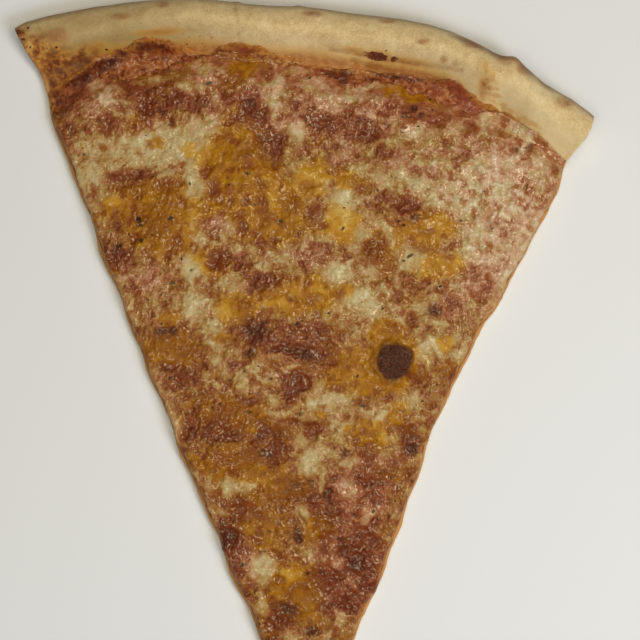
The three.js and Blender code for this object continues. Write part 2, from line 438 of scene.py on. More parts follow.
# %% A socket that does arithmetic
class Value:
    """The output of a node, in a material that is being written."""

    def __init__(self, material, socket):
        self.material, self.socket = material, socket

    def math(self, operation, *inputs):
        return self.material.node("ShaderNodeMath", {"operation": operation}, inputs)

    def __add__(self, other):
        return self.math("ADD", self, other)

    def __sub__(self, other):
        return self.math("SUBTRACT", self, other)

    def __mul__(self, other):
        return self.math("MULTIPLY", self, other)

    def __rsub__(self, other):
        return self.math("SUBTRACT", other, self)

    __radd__, __rmul__ = __add__, __mul__

    def held(self, low=0.0, high=1.0):
        """The value kept between two limits."""
        return self.math("MINIMUM", self.math("MAXIMUM", self, low), high)

    def ramp(self, low, high):
        """0 up to low, 1 from high, smooth between them."""
        settings = {"interpolation_type": "SMOOTHSTEP"}
        limits = {"Value": self, "From Min": low, "From Max": high}
        return self.material.node("ShaderNodeMapRange", settings, limits)


# %% Colours and materials
def paint(red, green, blue):
    """A colour as it looks on a screen, 0 to 255, as the linear colour a shader takes."""
    screen = np.array([red, green, blue]) / 255
    linear = np.where(screen < 0.04045, screen / 12.92, ((screen + 0.055) / 1.055) ** 2.4)
    return (*linear.tolist(), 1.0)


class Material:
    """A node material with a Principled shader, filled in by expressions."""

    def __init__(self, name):
        self.data = bpy.data.materials.new(name)
        self.data.use_nodes = True
        self.tree = self.data.node_tree
        self.shader = self.tree.nodes["Principled BSDF"]

    def node(self, kind, settings=None, inputs=(), output=0):
        """Adds a node and returns its output. inputs holds values or other outputs,
        in order, or by the socket's name or number."""
        made = self.tree.nodes.new(kind)
        for key, value in (settings or {}).items():
            if key == "stops":
                self.set_stops(made.color_ramp.elements, value)
            else:
                setattr(made, key, value)
        pairs = inputs.items() if isinstance(inputs, dict) else enumerate(inputs)
        for key, value in pairs:
            self.feed(made.inputs[key], value)
        return Value(self, made.outputs[output])

    def set_stops(self, elements, stops):
        while len(elements) < len(stops):
            elements.new(1.0)
        for element, (position, colour) in zip(elements, stops):
            element.position, element.color = position, colour

    def feed(self, socket, value):
        if isinstance(value, Value):
            self.tree.links.new(value.socket, socket)
        else:
            socket.default_value = value

    def mask(self, name):
        """One of the mesh's attributes."""
        return self.node("ShaderNodeAttribute", {"attribute_name": name}, output="Fac")

    def mix(self, share, first, second):
        """first where share is 0, second where it is 1."""
        return self.node("ShaderNodeMix", {"data_type": "RGBA"}, {0: share, 6: first, 7: second}, output=2)

    def shades(self, value, *stops):
        """A colour picked by a value from 0 to 1, along a list of (value, colour)."""
        return self.node("ShaderNodeValToRGB", {"stops": stops}, (value,))

    def noise(self, size, detail=3.0, roughness=0.5, warp=0.0):
        """Noise from 0 to 1 with features size mm across, in the object's own space."""
        where = self.node("ShaderNodeTexCoord", output="Object")
        grain = {"Scale": 1 / (size * MM), "Detail": detail, "Roughness": roughness, "Distortion": warp}
        return self.node("ShaderNodeTexNoise", {}, {"Vector": where, **grain})

    def stray(self, size):
        """The place in the object's own space, led astray by about a quarter of size mm."""
        where = self.node("ShaderNodeTexCoord", output="Object")
        drift = self.node("ShaderNodeTexNoise", {}, {"Vector": where, "Scale": 2.2 / (size * MM)}, "Color")
        reach = (0.5 * size * MM,) * 3
        return self.node("ShaderNodeVectorMath", {"operation": "MULTIPLY_ADD"}, (drift, reach, where))

    def specks(self, size, share):
        """1 on uneven specks, at most one to a cell size mm across. The largest are
        share of a cell wide, and many cells have none."""
        cell = {"Vector": self.stray(size), "Scale": 1 / (size * MM)}
        away = self.node("ShaderNodeTexVoronoi", {}, cell, "Distance")
        own = Value(self, away.socket.node.outputs["Color"])
        return 1 - (away + (1 - own) * 0.5).ramp(share * 0.4, share * 0.6)

    def pebbles(self, size):
        """Rounded bumps size mm apart, 1 on their tops."""
        cell = {"Vector": self.stray(size), "Scale": 1 / (size * MM), "Smoothness": 0.35}
        return 1 - self.node("ShaderNodeTexVoronoi", {"feature": "SMOOTH_F1"}, cell, "Distance")

    def bump(self, height, depth):
        """A normal from a height from 0 to 1 that stands for depth mm."""
        return self.node("ShaderNodeBump", {}, {"Height": height, "Strength": 1.0, "Distance": depth * MM})

    def finish(self, **sockets):
        """Sets the shader's sockets. A space in a socket's name is written as _."""
        for key, value in sockets.items():
            self.feed(self.shader.inputs[key.replace("_", " ")], value)
        print("finish:", self.data.name, "of", len(self.tree.nodes), "nodes")
        return self.data


# %% [markdown]
# ## The dough
#
# The base is a thin sheet. At the outer edge it swells into a rim, which baked
# pale and dry, with a crease, a knob, a fold where the inner slope slumped, and
# a left end that was pressed flat under the topping and freckled. A box with a
# bevel would give the width but not the roll, so the rim's section is worked
# out as on the solid, and its crest height is measured along it.

# %% The rim's section
RIM_CREST = 7.5  # the crest's distance in from the outer edge
RIM_FOOT = 18.0  # where the inner slope meets the sheet
RIM_NOSE = 5.0  # height of the outermost line
RIM_FACE = 0.4  # half the height of the band along it
RIM_HEEL = 5.5  # how far in the rounded underside reaches
CREST_STEPS = 90
CREST_BLUR = 9  # steps that each height is averaged over

crest_angles = np.linspace(LEFT, RIGHT, CREST_STEPS)
crest_heights = [height_over("dough", *place(a, slice_outline.reach(a) - RIM_CREST)) for a in crest_angles]
kernel = np.hanning(CREST_BLUR) / np.hanning(CREST_BLUR).sum()
crest_heights = np.convolve(np.pad(crest_heights, CREST_BLUR // 2, mode="edge"), kernel, mode="valid")
SHEET = height_over("dough", 0, 0)
print("sheet", round(SHEET, 2), "mm thick, crest up to", round(crest_heights.max(), 1))


def round_rise(t):
    """A rise from 0 to 1, steep at first, as on a ball's side."""
    return np.sqrt(np.clip(1 - (1 - np.clip(t, 0, 1)) ** 2, 0, 1))


def dough_top(angle, inward):
    """The height of the dough's upper side, without its small relief."""
    crest = np.interp(angle, crest_angles, crest_heights)
    outside = RIM_NOSE + RIM_FACE + (crest - RIM_NOSE - RIM_FACE) * round_rise(inward / RIM_CREST)
    inside = SHEET + (crest - SHEET) * ease(RIM_FOOT, RIM_CREST, inward)
    return np.where(inward < RIM_CREST, outside, inside)


def dough_bottom(inward):
    """The height of its underside, which is rounded up towards the outer edge."""
    return (RIM_NOSE - RIM_FACE) * (1 - round_rise(inward / RIM_HEEL))


# %% [markdown]
# The rim has marks of its own: a crease across it, the fold with its two dark
# lines, and burnt or brown blots. They are few and each shows, so they are listed
# one by one. The finer unevenness comes from noise.

# %% Marks on the dough
CREASE = [(-21.8, 116.5), (-20.8, 110), (-20.2, 103), (-19.5, 100)]
FOLD_TOP = [(8.5, 101), (15, 99.8), (23, 98.2), (29, 97.3), (37, 96), (43, 95), (49, 93.6)]
FOLD_MIDDLE = [(22, 97), (30, 95.5), (38, 94), (45, 92.8)]
# the fold's lower line: a groove, and in the colour a painted shadow
FOLD_FOOT = [(15.5, 98), (23, 95.6), (30, 93.4), (37.5, 91.8), (44, 91)]
KNOB = [(64, 98, 3.6, 2.2, -35)]
BROWNED = [
    (-43, 113.5, 2, 1.2), (64.5, 97.2, 3, 1.6, -35), (68.3, 93, 1, 1.4), (43.5, 97, 1.1, 0.9),
    (47, 95.5, 0.7, 0.5), (-77, 105, 4.5, 2), (62, 96.5, 3, 1.8, -30), (68, 93.5, 2, 1.8),
    (81, 83.5, 3, 1.8), (37, 102, 2, 0.9), (-56, 110, 3, 1), (3, 111, 3, 1.2), (26, 109, 2.5, 1),
    (52, 101, 2.5, 1)]
BURNT = [
    (23, 98.8, 3.9, 1, -10), (28.4, 97.9, 1.2, 0.6), (-89.2, 106.4, 1.2, 0.9), (-87.4, 104, 1, 0.5),
    (-86, 107.7, 0.6, 0.5), (-78.6, 86.2, 1, 1)]
FRECKLED = [
    (-79, 97, 8, 7), (-88, 105.5, 3, 3, -60), (-7, 98.5, 9, 1.6, -5), (57, 92.5, 4, 1.6, -25),
    (-60, 103, 7, 1.5, 15), (-33, 103.5, 6, 1.2), (27, 98.5, 8, 1.4, -8)]
SCORCHED = [(-79, 95, 8, 8), (-84, 101, 5, 5), (-71, 98, 6, 2.5, 30), (-88, 105.5, 3, 3)]
OILED = [
    (-79, 95, 8, 8), (-71, 98, 6, 3, 30), (-8, 99, 7, 1.8, -5), (17, 100, 5, 1.2, -12),
    (24, 98.6, 5, 2, -8), (32, 97.2, 9, 1.1, -9), (-45, 105.5, 8, 1, 4), (-66, 101, 5, 1.5, 20),
    (56, 88, 1.5, 4, 12)]
STAINED = [(-70, 97.5, 5, 2, 25), (-80.5, 89.5, 3.5, 4), (-77, 95, 2, 1.5)]
# where the painted shade along the outer edge is widened, over the knob and the right end
EDGE_SHADE_MARKS = [(52, 102, 6, 1.2, -22), (60, 99, 6, 1.6, -28), (69, 95, 5, 2.6, -38), (75, 90.5, 4, 1.8, -40)]
OIL_LINE = [(55.5, 94.5), (57.5, 91.5), (58.8, 88), (61, 84), (65, 81.5), (70, 78.5), (74, 75.5)]

# %% Make the dough
DOUGH_GAP = 0.62  # between its points where they show, mm
HIDDEN_GAP = 3.2  # and where the next layer hides them
SHEET_ROWS, SLOPE_ROWS, ROLL_ROWS = 330, 26, 22
FINE_FROM = 23  # how far in from the outer edge the sheet's rows end
OUTER_RADIUS = 230  # mm to a radian along the outer edge
APART = 60  # so that the two cuts take their noise from different places
EDGE_BUMPS = [  # each by its angle in degrees, and how far out and how wide it is, mm
    (16.1, 1.1, 2.6), (17.6, -0.2, 3.0), (-5.2, 0.5, 1.3), (-0.7, 0.4, 1.2)]
roll = [RIM_CREST * (1 - math.cos(t)) for t in np.linspace(math.pi / 2, 0, ROLL_ROWS)]


def tip_of_dough(angle):
    """A line round the worn tip, as a distance in from the outer edge."""
    return slice_outline.reach(angle) - TIP_WORN


dough_lines = [(tip_of_dough, False)]
dough_lines += lines_between(tip_of_dough, at(FINE_FROM), SHEET_ROWS, finish=False)
dough_lines += lines_between(at(FINE_FROM), at(RIM_CREST), SLOPE_ROWS)
dough_lines += [(at(inward), True) for inward in roll[1:]]


def dough_nibbles(distance, side):
    """How far the dough draws back from the cuts, in mm."""
    return 0.25 + 0.45 * hills(distance, APART * side, 8, 13) + 0.15 * hills(distance, APART * side, 2.4, 14)


def dough_bumps(angle):
    """How far the rim's outer edge stands out, in mm: the knob, two small bumps and noise."""
    bumps = 0.15 * hills(np.radians(angle) * OUTER_RADIUS, 0 * angle, 6, 16)
    for at_angle, out, wide in EDGE_BUMPS:
        bumps = bumps + out * groove(np.radians(angle - at_angle) * OUTER_RADIUS, wide)
    return bumps


dough = Plan(slice_outline, dough_lines, DOUGH_GAP, HIDDEN_GAP, dough_bumps, dough_nibbles, grip=40)

x, y, inward = dough.x, dough.y, dough.from_edge
on_rim = ease(19, 14, inward)
fold_band = groove(from_line(x, y, FOLD_MIDDLE), 1.5)
relief = 0.35 * hills(x, y, 22, 11) + 0.3 * rough(x, y, 9, 12, 2) + 0.12 * rough(x, y, 2.6, 15, 3)
relief = on_rim * relief + 0.08 * rough(x, y, 1.5, 18, 2)
relief -= 0.55 * groove(from_line(x, y, CREASE), 0.6)
relief -= 0.5 * groove(from_line(x, y, FOLD_TOP), 0.7) + 0.6 * groove(from_line(x, y, FOLD_FOOT), 0.8)
relief += 0.4 * fold_band + 1.6 * blots(x, y, KNOB, 0.6)
relief += 0.12 * blots(x, y, BROWNED, 0.6) - 0.25 * blots(x, y, BURNT, 0.5)
relief *= ease(0, 2.5, inward)
top = dough_top(dough.angle, inward) + relief
bottom = dough_bottom(inward) + 0.10 * np.abs(rough(x, y, 5, 31, 3)) * ease(0.0, 1.0, dough.from_cut)
bottom = np.minimum(bottom, top - 0.8)
dough_solid = Solid(dough, top, bottom, levels=20)
print("dough plan:", len(dough.x), "points in", len(dough.rows), "rows")

# %% [markdown]
# Where the knife went through, the inside of the dough shows: a pale crumb with
# pores, larger in the thick rim than in the pressed sheet. Holes cut right
# through would cost thousands of booleans. Pushing the wall's points in, inside
# each cell of a noise, gives the same open crumb and keeps the mesh closed.

# %% Open the crumb on the cut faces
source, depth = dough_solid.source, dough_solid.depth
rim_part = ease(17, 10, inward[source])
below_skin = np.minimum(dough_solid.top - dough_solid.z, dough_solid.z - bottom[source])
in_crumb = ease(0.25, 0.8, below_skin) * ((depth > 0) & (depth < 1)) * ease(0.2, 1.5, inward[source])
along, up = dough.along_cuts(source), dough_solid.z
small, _, small_own = cells(along * 0.8, up * 1.3, 1.5, 41)
large, _, large_own = cells(along * 0.7 + 0.6 * up, up, 3.4, 42)
pores = 0.5 * ease(0.55, 0.2, small) * (small_own > 0.45)
pores += 1.6 * rim_part * ease(0.5, 0.2, large) * (large_own > 0.4)
ragged = 0.16 * rough(along, up * 1.5, 2.2, 43, 3)
dough_solid.push += in_crumb * (ragged - pores)
reach_of_oil = 6 * ease(48, 60, x)  # the dough is bare further in at the right
slope_oil = ease(11.2, 15.8, inward - reach_of_oil)
# painted shade: a grey-brown band along the outer edge, where the rim turns away from the light
edge_shade = np.maximum(0.75 * ease(3.0, 0.4, inward), 1.1 * blots(x, y, EDGE_SHADE_MARKS, 0.8))
# the fold's upper line is an orange stain; its lower line, painted the same, is a painted shadow under the
# slumped slope
fold = np.maximum(groove(from_line(x, y, FOLD_TOP), 0.6), groove(from_line(x, y, FOLD_FOOT), 0.8))
scorched = blots(x + 1.5 * hills(x, y, 5, 54), y + 1.5 * hills(x, y, 5, 55), SCORCHED, 0.7)
dough_masks = {
    "crumb": in_crumb,
    # painted shade: the pores' cells are painted darker than the crumb
    "pore": in_crumb * np.clip(pores, 0, 1),
    "outer_edge": edge_shade[source] * (depth < 1),
    "oiled": np.maximum(0.8 * blots(x, y, OILED, 0.7), slope_oil)[source] * (depth < 0.02),
    "oil_line": groove(from_line(x + 1.2 * hills(x, y, 3, 56), y, OIL_LINE), 1.3)[source] * (depth < 0.02),
    # painted light: the inner slope at the right end made paler, against the shade the key light leaves
    # there
    "floury": (on_rim * ease(42, 62, x) * ease(7, 12, inward))[source],
    # painted shade: the rim darker and greyer towards its left end, where the light falls off
    "duller": (ease(-12, -62, x) * (1 - 0.4 * ease(6, 2, inward) + 0.5 * ease(9, 13, inward)))[source],
    "browned": blots(x + 0.6 * hills(x, y, 2, 51), y, BROWNED, 0.5)[source],
    "burnt": blots(x, y, BURNT, 0.8)[source],
    "greasy": ease(2.2, 0.6, dough.from_cut)[source] * ease(12, 20, inward[source]) * (depth < 0.4),
    "scorched": scorched[source],
    "stained": blots(x + 0.8 * hills(x, y, 2.5, 57), y, STAINED, 0.6)[source],
    "freckled": blots(x, y, FRECKLED, 0.6)[source],
    "fold": fold[source],
    # painted shade: the greyer band below the fold, under the slumped slope
    "ashen": fold_band[source],
    "underneath": (depth == 1).astype(float),
}
dough_piece = dough_solid.make("dough_base", dough_masks, underside_beside=True)

# %% [markdown]
# The rim is a cream tan, because the slice was baked hot and short: only a few
# spots browned or burnt. The inner slope is stained orange by oil from the
# cheese. The crumb is paler, and the underside is browned in patches where it
# touched the oven floor. Some light and shade is painted into the colour too:
# painted shade along the outer edge, on the fold's pale band and lower line, in
# the crumb's pores and towards the left end, and painted light on the inner
# slope at the right end.

# %% Colour the dough
def dough_finish():
    m = Material("baked_dough")
    broad, fine, grain = m.noise(9, 3), m.noise(2.2, 4), m.noise(0.5, 3)
    tone = (broad * 0.5 + fine * 0.5 + grain * 0.7 - 0.35).held()
    colour = m.shades(tone, (0.2, paint(196, 166, 114)), (0.5, paint(228, 202, 152)),
                      (0.8, paint(246, 228, 186)))
    # painted light on the inner slope at the right end
    colour = m.mix(m.mask("floury") * 0.9, colour, m.mix(tone, paint(236, 206, 148), paint(255, 240, 194)))
    # painted shade on the band below the fold
    colour = m.mix(m.mask("ashen") * 0.5, colour, paint(178, 162, 112))
    # painted shade along the outer edge of the rim
    edge = m.mask("outer_edge") * (0.65 + fine * 0.5)
    colour = m.mix(edge.held(), colour, paint(146, 118, 94))
    # painted shade towards the left end of the rim
    colour = m.mix(m.mask("duller") * 0.6, colour, paint(160, 134, 84))
    dotted = m.mask("oil_line") * (fine * 3.0 - 0.9)
    oil = (m.mask("oiled") * (0.55 + fine * 0.7) + (grain - 0.5) * 0.3 + dotted.held(0, 0.6)).held()
    stain = m.shades(oil, (0.1, paint(228, 188, 100)), (0.5, paint(216, 156, 44)), (0.9, paint(172, 98, 26)))
    colour = m.mix((oil * 0.9).held(), colour, stain)
    mottled = m.shades(m.noise(2.4, 2, 0.6), (0.38, paint(104, 48, 28)), (0.5, paint(160, 96, 42)),
                       (0.62, paint(196, 146, 72)), (0.74, paint(214, 176, 112)))
    colour = m.mix((m.mask("scorched") * 0.9).held(), colour, mottled)
    colour = m.mix((m.mask("stained") * (0.2 + fine)).held(), colour, paint(92, 44, 30))
    grease = m.mix(grain, paint(198, 134, 62), paint(226, 178, 112))
    colour = m.mix((m.mask("greasy") * (0.3 + fine)).held(), colour, grease)
    # orange stain on the fold's upper line, painted shadow on its lower line
    colour = m.mix((m.mask("fold") * (fine * 1.3 - 0.2)).held(), colour, paint(150, 96, 36))
    colour = m.mix((m.mask("browned") * (fine * 1.5 - 0.15)).held(), colour, paint(164, 110, 66))
    burnt = (m.mask("burnt") + (m.noise(1.2, 2) - 0.5) * 1.2).ramp(0.4, 0.7)
    colour = m.mix(burnt, colour, m.mix(grain.ramp(0.35, 0.65), paint(74, 32, 22), paint(132, 74, 48)))
    freckles = m.specks(1.7, 0.62) * m.mask("freckled").ramp(0.1, 0.6)
    colour = m.mix(freckles, colour, paint(86, 44, 20))
    # pores painted darker: painted shade in the crumb's holes
    crumb = m.mix(m.mask("pore").ramp(0.1, 0.9), paint(226, 204, 160), paint(176, 140, 92))
    colour = m.mix(m.mask("crumb"), colour, crumb)
    toasted = m.mix(fine.ramp(0.4, 0.65), paint(166, 112, 62), paint(96, 56, 32))
    toasted = m.mix(broad.ramp(0.45, 0.62), paint(206, 172, 118), toasted)
    colour = m.mix(m.mask("underneath"), colour, toasted)
    rough_skin = (0.62 - oil * 0.28 + grain * 0.1).held()
    relief = m.noise(0.8, 4, 0.6) * 0.6 + m.noise(3, 3) * 0.4
    return m.finish(Base_Color=colour, Roughness=rough_skin, Normal=m.bump(relief, 0.25),
                    Specular_IOR_Level=0.25, Subsurface_Weight=0.05, Subsurface_Scale=0.001)


dough_piece.data.materials.append(dough_finish())
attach(dough_piece, "root")
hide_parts("dough")

# %% [markdown]
# ## The sauce
#
# The sauce is a thin layer that shows in two places: as a line along the cuts,
# and as a ring between the cheese and the rim, where it boiled, darkened and
# dried. It follows the dough under it, so its upper side is the dough's height
# plus its own thickness, and the mesh is fine only where it shows.

# %% Make the sauce
SAUCE_THICK = height_over("sauce", 0, 0) - SHEET
SAUCE_GAP = 0.6
SAUCE_ROWS, SAUCE_RING_ROWS = 320, 20
SAUCE_RING = 10  # how wide the band beside the rim is that has fine rows, mm
SAUCE_RADIUS = 210  # mm to a radian along its edge
SINK = 0.12  # each layer is pressed this far into the one below


def lobes(angle):
    """How far the edge of the sauce strays out, in mm, along the rim."""
    s = np.radians(angle) * SAUCE_RADIUS
    uneven = 0.6 * hills(s, 0 * s, 7, 61) + 0.5 * hills(s, 0 * s, 3, 62) + 0.3 * hills(s, 0 * s, 1.3, 60)
    return uneven - 0.4 * ease(14.5, 17, angle) - 1.5 * groove(angle - 1, 1.5)


def tip_of_sauce(angle):
    """A line round the sauce's tip, 1 mm behind the dough's."""
    return sauce_outline.reach(angle) - TIP_WORN - 1


sauce_lines = [(tip_of_sauce, False)]
sauce_lines += lines_between(tip_of_sauce, at(SAUCE_RING), SAUCE_ROWS, finish=False)
sauce_lines += lines_between(at(SAUCE_RING), at(0), SAUCE_RING_ROWS)


def sauce_nibbles(distance, side):
    """How far the sauce draws back from the cuts, in mm."""
    return 0.75 + 0.35 * hills(distance, APART * side, 5, 58) + 0.2 * hills(distance, APART * side, 1.8, 59)


sauce = Plan(sauce_outline, sauce_lines, SAUCE_GAP, HIDDEN_GAP, lobes, sauce_nibbles)
x, y = sauce.x, sauce.y
SAUCE_DARK = [
    (-70, 93, 5, 3, 30), (-62, 97, 5, 2, 20), (-52, 102.7, 5, 1.6), (-80, 88, 3, 4), (-76, 84, 3, 3),
    (-57, 101, 2, 1.5), (-47, 102, 2, 1.3), (-44, 102, 1.5, 1.3), (-80, 89.5, 2, 2), (11, 94, 4, 3),
    (13, 92, 2, 2), (-11, 95, 2, 1.5), (30, 93, 9, 0.9, -10), (22.5, 92, 1.5, 1.2), (-20, 103.5, 1.5, 1),
    (-26, 101, 1.5, 1), (-15, 99, 1.2, 1)]
SAUCE_ORANGE = [
    (-34, 101.5, 5, 1), (-11, 100, 5, 1.3), (-3, 97.5, 8, 1.4), (18, 95.5, 3, 1.5), (60, 85, 3, 3),
    (66, 79, 4, 3), (72, 74, 5, 4)]
TONGUE = [
    (42, 88.5, 2, 2), (47.5, 90.5, 2.5, 4, 20), (52, 85, 3.5, 4.5, 30), (-21, 102, 4, 2.5),
    (-28, 100, 4, 1.6), (1, 94.5, 5, 1.2)]
sauce_dark = blots(x + 0.8 * hills(x, y, 3, 63), y + 0.8 * hills(x, y, 3, 64), SAUCE_DARK, 0.5)
sauce_edge = ease(0.1, 1.7, sauce.from_edge + 1.2 * hills(x, y, 4, 66))
lumps = 0.5 * rough(x, y, 4, 65, 3) + 0.3 * rough(x, y, 1.6, 68, 2) + 0.3 * sauce_dark
thick = (SAUCE_THICK - 0.1 + lumps) * (0.1 + 0.9 * ease(-1, 4, sauce.from_edge))
base = dough_top(sauce.angle, sauce.inward)
top = base + np.maximum(thick * ease(26, 20, sauce.inward) + SAUCE_THICK * ease(20, 26, sauce.inward), 0.12)
sauce_solid = Solid(sauce, top, base - SINK, levels=4, plain_rows=SAUCE_ROWS - 2)
source, depth = sauce_solid.source, sauce_solid.depth
along = sauce.along_cuts(source)
sauce_solid.push += ((depth > 0) & (depth < 1)) * (0.1 + 0.22 * rough(along, depth * 3, 3, 69, 3))
shallow = (1 - sauce_edge) * (1 - 0.8 * ease(6, 14, x) * ease(54, 46, x))
shallow_at_cut = 0.8 * ease(1.8, 0.7, sauce.from_cut)
sauce_masks = {
    "dark": sauce_dark[source],
    "orange": blots(x + hills(x, y, 3, 71), y, SAUCE_ORANGE, 0.6)[source],
    "tongue": blots(x + hills(x, y, 3, 71), y + hills(x, y, 3, 72), TONGUE, 0.5)[source],
    "thin": np.maximum(shallow[source], shallow_at_cut[source] * (depth == 0)),
}
sauce_piece = sauce_solid.make("tomato_sauce", sauce_masks)


# %% Colour the sauce
def sauce_finish():
    m = Material("tomato_sauce")
    broad, fine, grain = m.noise(3, 2), m.noise(1.2, 2), m.noise(0.5, 2)
    tone = (broad * 0.9 + fine * 0.8 + grain * 0.3 - 0.48).held()
    colour = m.shades(tone, (0.2, paint(84, 30, 16)), (0.36, paint(116, 48, 22)), (0.5, paint(150, 80, 34)),
                      (0.64, paint(166, 96, 50)), (0.8, paint(192, 138, 90)))
    orange = m.mix(grain, paint(178, 104, 30), paint(206, 156, 80))
    colour = m.mix((m.mask("orange") * (fine * 2.4 - 0.5)).held(), colour, orange)
    colour = m.mix(m.mask("tongue") * 0.85, colour, m.mix(fine, paint(112, 38, 22), paint(172, 92, 60)))
    colour = m.mix((m.mask("dark") * (broad * 1.8 - 0.1)).held(), colour, paint(78, 24, 14))
    thin = m.mix(grain, paint(176, 106, 38), paint(200, 144, 72))
    colour = m.mix((m.mask("thin") * (fine * 2.0 - 0.3)).held(), colour, thin)
    colour = m.mix(m.specks(1.7, 0.62) * m.noise(5, 2).ramp(0.45, 0.6), colour, paint(60, 28, 16))
    roughness = (0.26 + grain * 0.2).held()
    relief = m.pebbles(1.3) * 0.5 + grain * 0.3
    return m.finish(Base_Color=colour, Roughness=roughness, Coat_Weight=0.4, Coat_Roughness=0.1,
                    Normal=m.bump(relief, 0.5), Specular_IOR_Level=0.35)


sauce_piece.data.materials.append(sauce_finish())
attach(sauce_piece, "root")
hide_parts("sauce")

# %% [markdown]
# ## The cheese
#
# Shredded cheese melts into one skin of uneven thickness. Where it is thick it
# stays cream and stands proud; where it is thin the sauce shows through and the
# skin sinks; where it swam in oil it is smooth, domed and golden; where a
# bubble rose it browned, up to one dark blister. One field, how thick the
# cheese is, therefore drives both the height and the colour, and a few masks
# for oil, browning and blisters lie over it. The larger marks are listed one by
# one, and noise fills in between them.

# %% Broad zones of the cheese
CREAMY = [
    (-62, 68, 10, 7), (-48, 73, 10, 5), (-37, 70, 7, 9), (-34.5, 57, 2, 5), (-34, 32, 4, 4),
    (-33, 20, 7, 5), (12, 50, 7, 11), (10, 32, 6, 4), (19, 21, 10, 6), (-8, 37, 4, 3), (40, 60, 8, 4, -30),
    (52, 57, 7, 7), (62, 60, 9, 10), (66, 47, 8, 9), (57, 36, 7, 7), (66, 33, 4, 6), (40, 7, 4, 4),
    (47, 8, 3, 3), (-15, -2, 5, 4), (8, -10, 8, 4), (23, -13, 3, 3), (0, -28, 5, 5), (-21, -35, 7, 3),
    (-13, -62, 6, 5), (-1, 76, 3, 4), (12, 87, 9, 3), (-9, 88, 4, 7), (-63, 85, 6, 4), (-46, -8, 4, 9, 20),
    (-68, 61, 5, 4), (70, 71, 3, 3), (2, 60, 5, 4)]
GOLDEN_SKIN = [
    (-20, 66, 11, 15), (-9, 50, 9, 9), (-44, 48, 10, 10), (-1, 23.5, 12, 5), (18, 0, 9, 7), (38, 45, 9, 5),
    (-23, -13, 10, 5), (-20, -28, 12, 5), (12, 47, 5, 7), (3, 60, 5, 5), (-14, -47, 8, 8), (0, -69, 7, 8),
    (22, -18, 5, 4), (36, 88, 9, 3.5, -15), (-42, 7, 7, 5), (44, 34, 8, 4), (13, 60, 4, 3), (26, 12, 5, 4),
    (5, -50, 5, 5), (-6, -36, 7, 4), (-55, 52, 6, 4), (-20, 20, 6, 4), (-30, 34, 5, 4)]
RUDDY = [
    (-68, 97, 8, 4), (-50, 99, 9, 4), (-74, 88, 5, 6), (-74, 74, 3, 4), (-51, 78, 4, 2.5), (0, -36, 6, 4),
    (-46, 86, 7, 5), (-16, 82, 5, 5), (-56, 60, 7, 3), (10, 79, 8, 4), (20, 76, 6, 4), (12, 94, 9, 3),
    (43, 81, 5, 2), (50, 87, 6, 6), (30, 82, 8, 4), (-15, 12, 7, 5), (1, 8, 9, 5), (-58, 36, 5, 4),
    (-43, 11, 7, 5), (-39, -1, 6, 4), (-25, -19, 11, 3), (-10, -22, 7, 6), (-3, -4, 5, 4), (-24, -53, 5, 7),
    (5, -38, 8, 4), (16, -60, 7, 13), (10, -70, 8, 6), (-7, -76, 5, 4), (23, -33, 6, 8), (33, -21, 3, 5),
    (33, 51, 6, 4), (23, 38, 4, 3), (-25, 36, 6, 3), (-14, 28, 5, 3), (57, 28, 4, 5), (44, 21, 5, 3),
    (10, -46, 6, 5), (-10, 72, 4, 7), (47, -2, 3, 5)]

